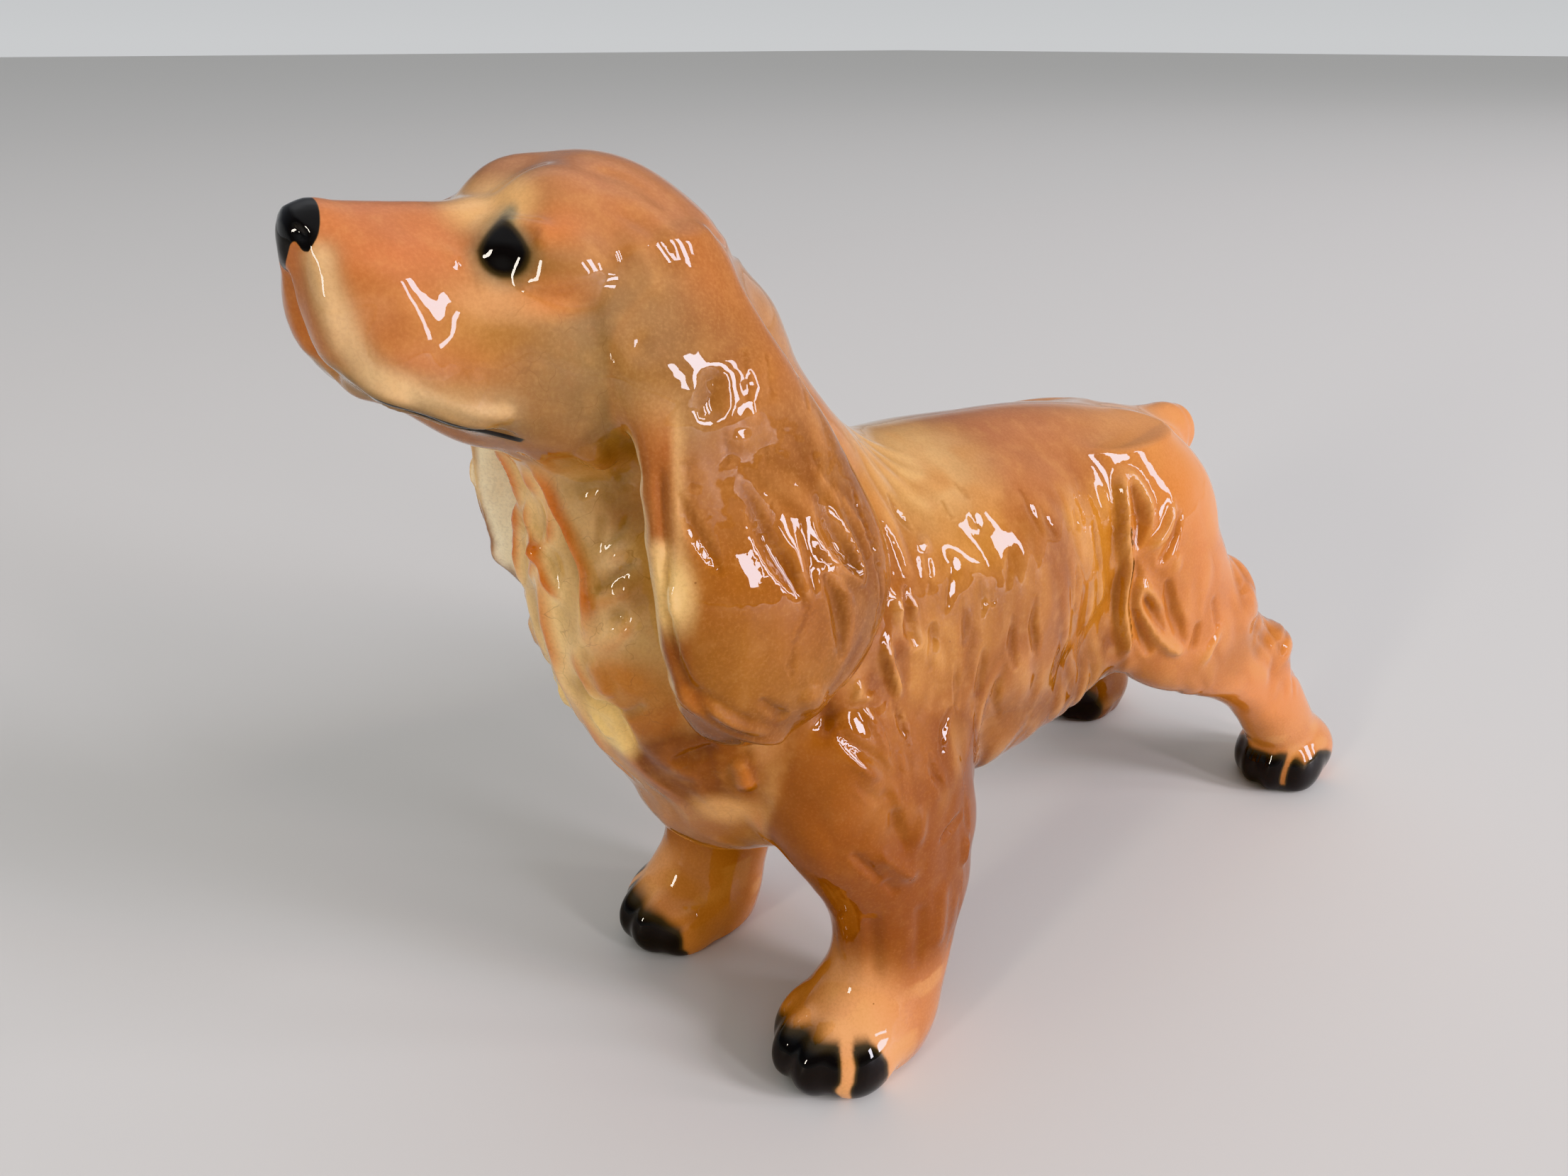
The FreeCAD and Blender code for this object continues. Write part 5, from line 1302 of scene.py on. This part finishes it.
def glaze(name, nose=False, grain=0.5, mottle=1.0):
    mat = bpy.data.materials.new(name)
    mat.use_nodes = True
    nt = mat.node_tree
    nt.nodes.clear()
    M_ = Maths(nt)
    out = node(nt, "ShaderNodeOutputMaterial")
    bsdf = node(nt, "ShaderNodeBsdfPrincipled")
    nt.links.new(bsdf.outputs[0], out.inputs[0])
    tc = node(nt, "ShaderNodeTexCoord")
    mp = node(nt, "ShaderNodeMapping")
    mp.inputs["Scale"].default_value = (1000, 1000, 1000)
    mp.inputs["Location"].default_value = (0, -SHIFT, 0)
    nt.links.new(tc.outputs["Object"], mp.inputs[0])
    P_ = mp.outputs[0]                         # millimetres, working frame
    sep = node(nt, "ShaderNodeSeparateXYZ")
    nt.links.new(P_, sep.inputs[0])
    x_, y_, z_ = sep.outputs

    paint = node(nt, "ShaderNodeAttribute", attribute_name="paint")
    inkn = node(nt, "ShaderNodeAttribute", attribute_name="ink")
    crz = node(nt, "ShaderNodeAttribute", attribute_name="craze")
    c = paint.outputs["Color"]

    # fine spatter of the airbrush
    g1 = node(nt, "ShaderNodeTexNoise", noise_dimensions="3D")
    g1.inputs["Scale"].default_value = 2.6
    g1.inputs["Detail"].default_value = 3.0
    g1.inputs["Roughness"].default_value = 0.65
    nt.links.new(P_, g1.inputs["Vector"])
    g2 = node(nt, "ShaderNodeTexNoise", noise_dimensions="3D")
    g2.inputs["Scale"].default_value = 0.35
    g2.inputs["Detail"].default_value = 4.0
    nt.links.new(P_, g2.inputs["Vector"])
    c = M_.mix(M_.ramp(g1.outputs[0], 0.36, 0.70, 0.0, 0.55 * grain), c, (0.150, 0.045, 0.012, 1))
    c = M_.mix(M_.ramp(g1.outputs[0], 0.50, 0.26, 0.0, 0.35 * grain), c, (0.66, 0.34, 0.13, 1))
    c = M_.mix(M_.ramp(g2.outputs[0], 0.45, 0.75, 0.0, 0.20 * mottle), c, (0.72, 0.36, 0.12, 1))
    c = M_.mix(M_.ramp(g2.outputs[0], 0.48, 0.25, 0.0, 0.16 * mottle), c, (0.42, 0.155, 0.055, 1))

    # a few dark specks in the body
    vo = node(nt, "ShaderNodeTexVoronoi", feature="F1")
    vo.inputs["Scale"].default_value = 0.22
    nt.links.new(P_, vo.inputs["Vector"])
    speck = M_.op("MULTIPLY", M_.ramp(vo.outputs["Distance"], 0.035, 0.02), M_.ramp(vo.outputs["Color"], 0.55, 0.6))
    c = M_.mix(M_.op("MULTIPLY", speck, 0.6), c, (0.16, 0.06, 0.02, 1))

    # crazing of the glaze
    wob = node(nt, "ShaderNodeTexNoise", noise_dimensions="3D")
    wob.inputs["Scale"].default_value = 0.3
    nt.links.new(P_, wob.inputs["Vector"])
    wv = node(nt, "ShaderNodeVectorMath", operation="SCALE")
    nt.links.new(wob.outputs["Color"], wv.inputs[0])
    wv.inputs["Scale"].default_value = 3.4
    wa = node(nt, "ShaderNodeVectorMath", operation="ADD")
    nt.links.new(P_, wa.inputs[0])
    nt.links.new(wv.outputs[0], wa.inputs[1])
    ve = node(nt, "ShaderNodeTexVoronoi", feature="DISTANCE_TO_EDGE")
    ve.inputs["Scale"].default_value = 0.20
    nt.links.new(wa.outputs[0], ve.inputs["Vector"])
    line = M_.op("MULTIPLY", M_.ramp(ve.outputs["Distance"], 0.010, 0.003), crz.outputs["Fac"])
    line = M_.op("MULTIPLY", line, M_.ramp(g2.outputs[0], 0.42, 0.56, 0.05, 0.30))
    c = M_.mix(line, c, (0.16, 0.07, 0.03, 1))

    black = inkn.outputs["Fac"]
    if nose:
        ax = M_.op("ABSOLUTE", x_)
        # leather of the nose
        ex = M_.op("POWER", M_.op("DIVIDE", ax, 4.2), 2.0)
        ey = M_.op("POWER", M_.op("DIVIDE", M_.op("ABSOLUTE", M_.op("ADD", y_, 103.4)), 3.3), 2.0)
        ez = M_.op("POWER", M_.op("DIVIDE", M_.op("ABSOLUTE", M_.op("SUBTRACT", z_, 118.7)), 3.4), 2.0)
        k = M_.op("SQRT", M_.op("ADD", ex, M_.op("ADD", ey, ez)))
        pad = M_.ramp(k, 1.03, 0.985)
        # lower edge of the leather, notched beside the philtrum
        edge = M_.op("ADD", 117.25, M_.op("MULTIPLY", M_.ramp(M_.op("ABSOLUTE", M_.op("SUBTRACT", ax, 2.4)), 1.1, 0.0), 0.75))
        pad = M_.op("MULTIPLY", pad, M_.ramp(M_.op("SUBTRACT", z_, edge), -0.12, 0.12))
        # philtrum: a wedge that runs out downwards
        wdt = M_.op("ADD", 0.22, M_.op("MULTIPLY", M_.op("MAXIMUM", M_.op("SUBTRACT", z_, 115.0), 0.0), 0.62))
        phil = M_.ramp(M_.op("SUBTRACT", ax, wdt), 0.12, -0.12)
        phil = M_.op("MULTIPLY", phil, M_.ramp(z_, 114.0, 114.8))
        phil = M_.op("MULTIPLY", phil, M_.ramp(z_, 119.5, 118.5))
        phil = M_.op("MULTIPLY", phil, M_.ramp(y_, -102.2, -102.8))
        nose_ = M_.op("MAXIMUM", pad, phil)
        # the line of the mouth: height as a curve of y
        fc = node(nt, "ShaderNodeFloatCurve")
        t = M_.op("DIVIDE", M_.op("ADD", y_, 104.0), 18.0)
        nt.links.new(t, fc.inputs["Value"])
        cv = fc.mapping.curves[0]
        pts = [((y + 104.0) / 18.0, (z - 96.0) / 12.0) for x, y, z in MOUTH]
        cv.points[0].location = (0.0, min(1.0, pts[0][1] + 0.1))
        cv.points[1].location = (1.0, max(0.0, pts[-1][1] - 0.05))
        for p in pts:
            cv.points.new(*p)
        fc.mapping.update()
        zz = M_.op("ADD", M_.op("MULTIPLY", fc.outputs[0], 12.0), 96.0)
        dz = M_.op("ABSOLUTE", M_.op("SUBTRACT", z_, zz))
        half = M_.ramp(y_, -102.0, -92.0, 0.10, 0.24)
        mline = M_.ramp(M_.op("SUBTRACT", dz, half), 0.10, -0.06)
        mline = M_.op("MULTIPLY", mline, M_.ramp(y_, -87.7, -88.2))
        mline = M_.op("MULTIPLY", mline, M_.ramp(ax, 3.0, 4.2))
        mline = M_.op("MULTIPLY", mline, M_.ramp(y_, -103.0, -98.0, 0.25, 1.0))
        shadow = M_.op("MULTIPLY", M_.ramp(dz, 0.9, 0.2), M_.ramp(y_, -87.0, -89.5))
        shadow = M_.op("MULTIPLY", shadow, M_.ramp(ax, 2.0, 4.0))
        c = M_.mix(M_.op("MULTIPLY", shadow, 0.35), c, (0.10, 0.06, 0.02, 1))
        black = M_.op("MAXIMUM", black, M_.op("MAXIMUM", nose_, mline))
    # the black isn't flat: it thins to brown at its edge
    c = M_.mix(M_.ramp(black, 0.0, 0.55), c, (0.045, 0.032, 0.016, 1))
    c = M_.mix(M_.ramp(black, 0.45, 0.95), c, (0.0065, 0.0055, 0.0045, 1))
    nt.links.new(c, bsdf.inputs["Base Color"])

    # glaze: a clear even coat with a faint ripple
    rn = node(nt, "ShaderNodeTexNoise", noise_dimensions="3D")
    rn.inputs["Scale"].default_value = 0.55
    rn.inputs["Detail"].default_value = 1.0
    nt.links.new(P_, rn.inputs["Vector"])
    bump = node(nt, "ShaderNodeBump")
    bump.inputs["Strength"].default_value = 0.15
    bump.inputs["Distance"].default_value = 0.00012
    nt.links.new(rn.outputs[0], bump.inputs["Height"])
    nt.links.new(bump.outputs[0], bsdf.inputs["Normal"])
    nt.links.new(bump.outputs[0], bsdf.inputs["Coat Normal"])
    rr = node(nt, "ShaderNodeMapRange")
    nt.links.new(g1.outputs[0], rr.inputs["Value"])
    rr.inputs["To Min"].default_value = 0.30
    rr.inputs["To Max"].default_value = 0.44
    nt.links.new(rr.outputs[0], bsdf.inputs["Roughness"])
    bsdf.inputs["Specular IOR Level"].default_value = 0.0
    bsdf.inputs["Coat Weight"].default_value = 1.0
    bsdf.inputs["Coat Roughness"].default_value = 0.02
    bsdf.inputs["Coat IOR"].default_value = 1.52
    return mat


MATS = {"body": glaze("glaze_body", grain=0.26, mottle=0.8), "head": glaze("glaze_head", nose=True, grain=0.24, mottle=0.8),
        "ear": glaze("glaze_ear", grain=0.32, mottle=0.5), "leg": glaze("glaze_leg", grain=0.24, mottle=0.25)}


def new_mesh(name, verts_mm, faces, normals, attrs):
    me = bpy.data.meshes.new(name)
    P_ = verts_mm + np.array([0, SHIFT, 0])
    me.from_pydata((P_ / 1000.0).tolist(), [], faces)
    me.update()
    me.polygons.foreach_set("use_smooth", np.ones(len(me.polygons), bool))
    c4 = np.concatenate([attrs[0], np.ones((len(P_), 1))], 1).astype(np.float32)
    me.attributes.new("paint", "FLOAT_COLOR", "POINT").data.foreach_set("color", c4.ravel())
    me.attributes.new("ink", "FLOAT", "POINT").data.foreach_set("value", attrs[1].astype(np.float32))
    me.attributes.new("craze", "FLOAT", "POINT").data.foreach_set("value", attrs[2].astype(np.float32))
    me.normals_split_custom_set_from_vertices(normals.tolist())
    return me


def loops_of(faces):
    """Boundary loops of a list of faces (arrays of vertex ids, same winding)."""
    E = np.concatenate([faces[:, [0, 1]], faces[:, [1, 2]], faces[:, [2, 3]], faces[:, [3, 0]]])
    big = int(E.max()) + 1
    key = E[:, 0] * big + E[:, 1]
    back = E[:, 1] * big + E[:, 0]
    open_ = ~np.isin(key, back)
    nxt = {}
    for a, b_ in E[open_]:
        nxt.setdefault(int(a), []).append(int(b_))
    loops = []
    while nxt:
        start = next(iter(nxt))
        loop = [start]
        cur = start
        while True:
            cand = nxt[cur]
            n_ = cand.pop()
            if not cand:
                del nxt[cur]
            if n_ == start:
                break
            loop.append(n_)
            cur = n_
        loops.append(loop)
    return loops


# tidy the labels so that each group is one patch per seam
for _ in range(6):
    votes = np.stack([np.bincount(A, weights=(label[B] == g), minlength=len(V)) for g in range(len(GROUPS))], 1)
    votes += (label[:, None] == np.arange(len(GROUPS))[None, :]) * 1.5
    label = np.argmax(votes, 1)
flabel = label[Q]
fl = np.array([np.bincount(r, minlength=len(GROUPS)).argmax() for r in flabel]) if len(Q) < 1 else None
cnt = np.stack([(flabel == g).sum(1) for g in range(len(GROUPS))], 1)
fl = np.argmax(cnt, 1)

for g, name in enumerate(GROUPS):
    faces = Q[fl == g]
    if len(faces) == 0:
        print("no faces for", name)
        continue
    loops = loops_of(faces)
    used, inv = np.unique(faces, return_inverse=True)
    inv = inv.reshape(faces.shape)
    remap = {int(v): i for i, v in enumerate(used)}
    verts = V[used]
    normals = N[used]
    at_c, at_i, at_z = col[used], ink[used], craze[used]
    flist = inv.tolist()
    extra, extran = [], []
    for loop in loops:
        pts = V[loop]
        c = pts.mean(0)
        ci = len(verts) + len(extra)
        extra.append(c)
        extran.append([0, 0, 1])
        ids = [remap[v] for v in loop]
        for a, b_ in zip(ids, ids[1:] + ids[:1]):
            flist.append([b_, a, ci])
    if extra:
        verts = np.concatenate([verts, np.array(extra)])
        normals = np.concatenate([normals, np.array(extran, float)])
        at_c = np.concatenate([at_c, np.tile(lin(225, 205, 175), (len(extra), 1))])
        at_i = np.concatenate([at_i, np.zeros(len(extra))])
        at_z = np.concatenate([at_z, np.zeros(len(extra))])
    me = new_mesh(NODE[name] + "_glazed", verts, flist, normals, (at_c, at_i, at_z))
    slot = {"body": "body", "tail": "body", "head": "head", "ear_l": "ear", "ear_r": "ear"}.get(name, "leg")
    me.materials.append(MATS[slot])
    ob = bpy.data.objects.new(NODE[name] + "_glazed", me)
    bpy.context.scene.collection.objects.link(ob)
    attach(ob, "root")
    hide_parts(NODE[name])
    print(name, "faces", len(flist), "loops", len(loops), [len(l) for l in loops][:8])

# ---------------------------------------------------------------------------
# stage, light, camera
floor_me = bpy.data.meshes.new("floor")
floor_me.from_pydata([(-12, -12, 0), (12, -12, 0), (12, 12, 0), (-12, 12, 0)], [], [(0, 1, 2, 3)])
floor = bpy.data.objects.new("floor", floor_me)
bpy.context.scene.collection.objects.link(floor)
fm = bpy.data.materials.new("floor")
fm.use_nodes = True
fm.node_tree.nodes["Principled BSDF"].inputs["Base Color"].default_value = (0.61, 0.59, 0.555, 1)
fm.node_tree.nodes["Principled BSDF"].inputs["Roughness"].default_value = 0.6
floor_me.materials.append(fm)

world = bpy.data.worlds.new("world")
bpy.context.scene.world = world
world.use_nodes = True
wt = world.node_tree
bg = wt.nodes["Background"]
wc = node(wt, "ShaderNodeTexCoord")
ws = node(wt, "ShaderNodeSeparateXYZ")
wt.links.new(wc.outputs["Generated"], ws.inputs[0])
wr = node(wt, "ShaderNodeValToRGB")
wt.links.new(ws.outputs[2], wr.inputs[0])
el = wr.color_ramp.elements
el[0].position, el[0].color = 0.0, (0.66, 0.67, 0.68, 1)
el[1].position, el[1].color = 1.0, (0.80, 0.82, 0.85, 1)
for pos, c_ in ((0.06, (0.60, 0.61, 0.62, 1)), (0.22, (0.30, 0.31, 0.33, 1)), (0.45, (0.34, 0.35, 0.37, 1)), (0.75, (0.80, 0.82, 0.85, 1))):
    e_ = el.new(pos)
    e_.color = c_
wt.links.new(wr.outputs[0], bg.inputs[0])
bg.inputs[1].default_value = 0.95


def area(name, loc, target, size, power, color=(1, 1, 1)):
    L = bpy.data.lights.new(name, "AREA")
    L.shape = "RECTANGLE"
    L.size, L.size_y = size
    L.energy = power
    L.color = color
    o = bpy.data.objects.new(name, L)
    o.location = loc
    o.rotation_euler = (Vector(target) - Vector(loc)).to_track_quat("-Z", "Y").to_euler()
    bpy.context.scene.collection.objects.link(o)
    return o


def towards(az, el, dist):
    a_, e_ = math.radians(az), math.radians(el)
    return (dist * math.cos(e_) * math.cos(a_), dist * math.cos(e_) * math.sin(a_), 0.06 + dist * math.sin(e_))


area("window_a", towards(27, 22, 3.2), (0, 0, 0.06), (0.54, 1.85), 82.0, (0.93, 0.90, 1.0))
area("window_b", towards(8, 21, 3.2), (0, 0, 0.06), (0.27, 1.50), 29.0, (0.93, 0.90, 1.0))
area("window_c", towards(45, 19, 3.2), (0, 0, 0.06), (0.24, 1.35), 20.0, (0.93, 0.90, 1.0))
area("lamp", towards(-80, 17, 1.6), (0, 0, 0.06), (0.15, 0.32), 6.0, (1.0, 0.93, 0.82))
bpy.context.scene.view_settings.view_transform = "Khronos PBR Neutral"

cam = bpy.data.cameras.new("camera")
cam.sensor_width = 36.0
cam.lens = 36.0 * FPX / 2212.0
cam.clip_start = 0.005
co = bpy.data.objects.new("camera", cam)
m = Matrix(((RIGHT[0], -DOWN[0], -AXIS[0], CAM[0] / 1000),
            (RIGHT[1], -DOWN[1], -AXIS[1], (CAM[1] + SHIFT) / 1000),
            (RIGHT[2], -DOWN[2], -AXIS[2], CAM[2] / 1000),
            (0, 0, 0, 1)))
co.matrix_world = m
bpy.context.scene.collection.objects.link(co)
bpy.context.scene.camera = co

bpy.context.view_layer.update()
print("total %.1fs" % (time.time() - T0))
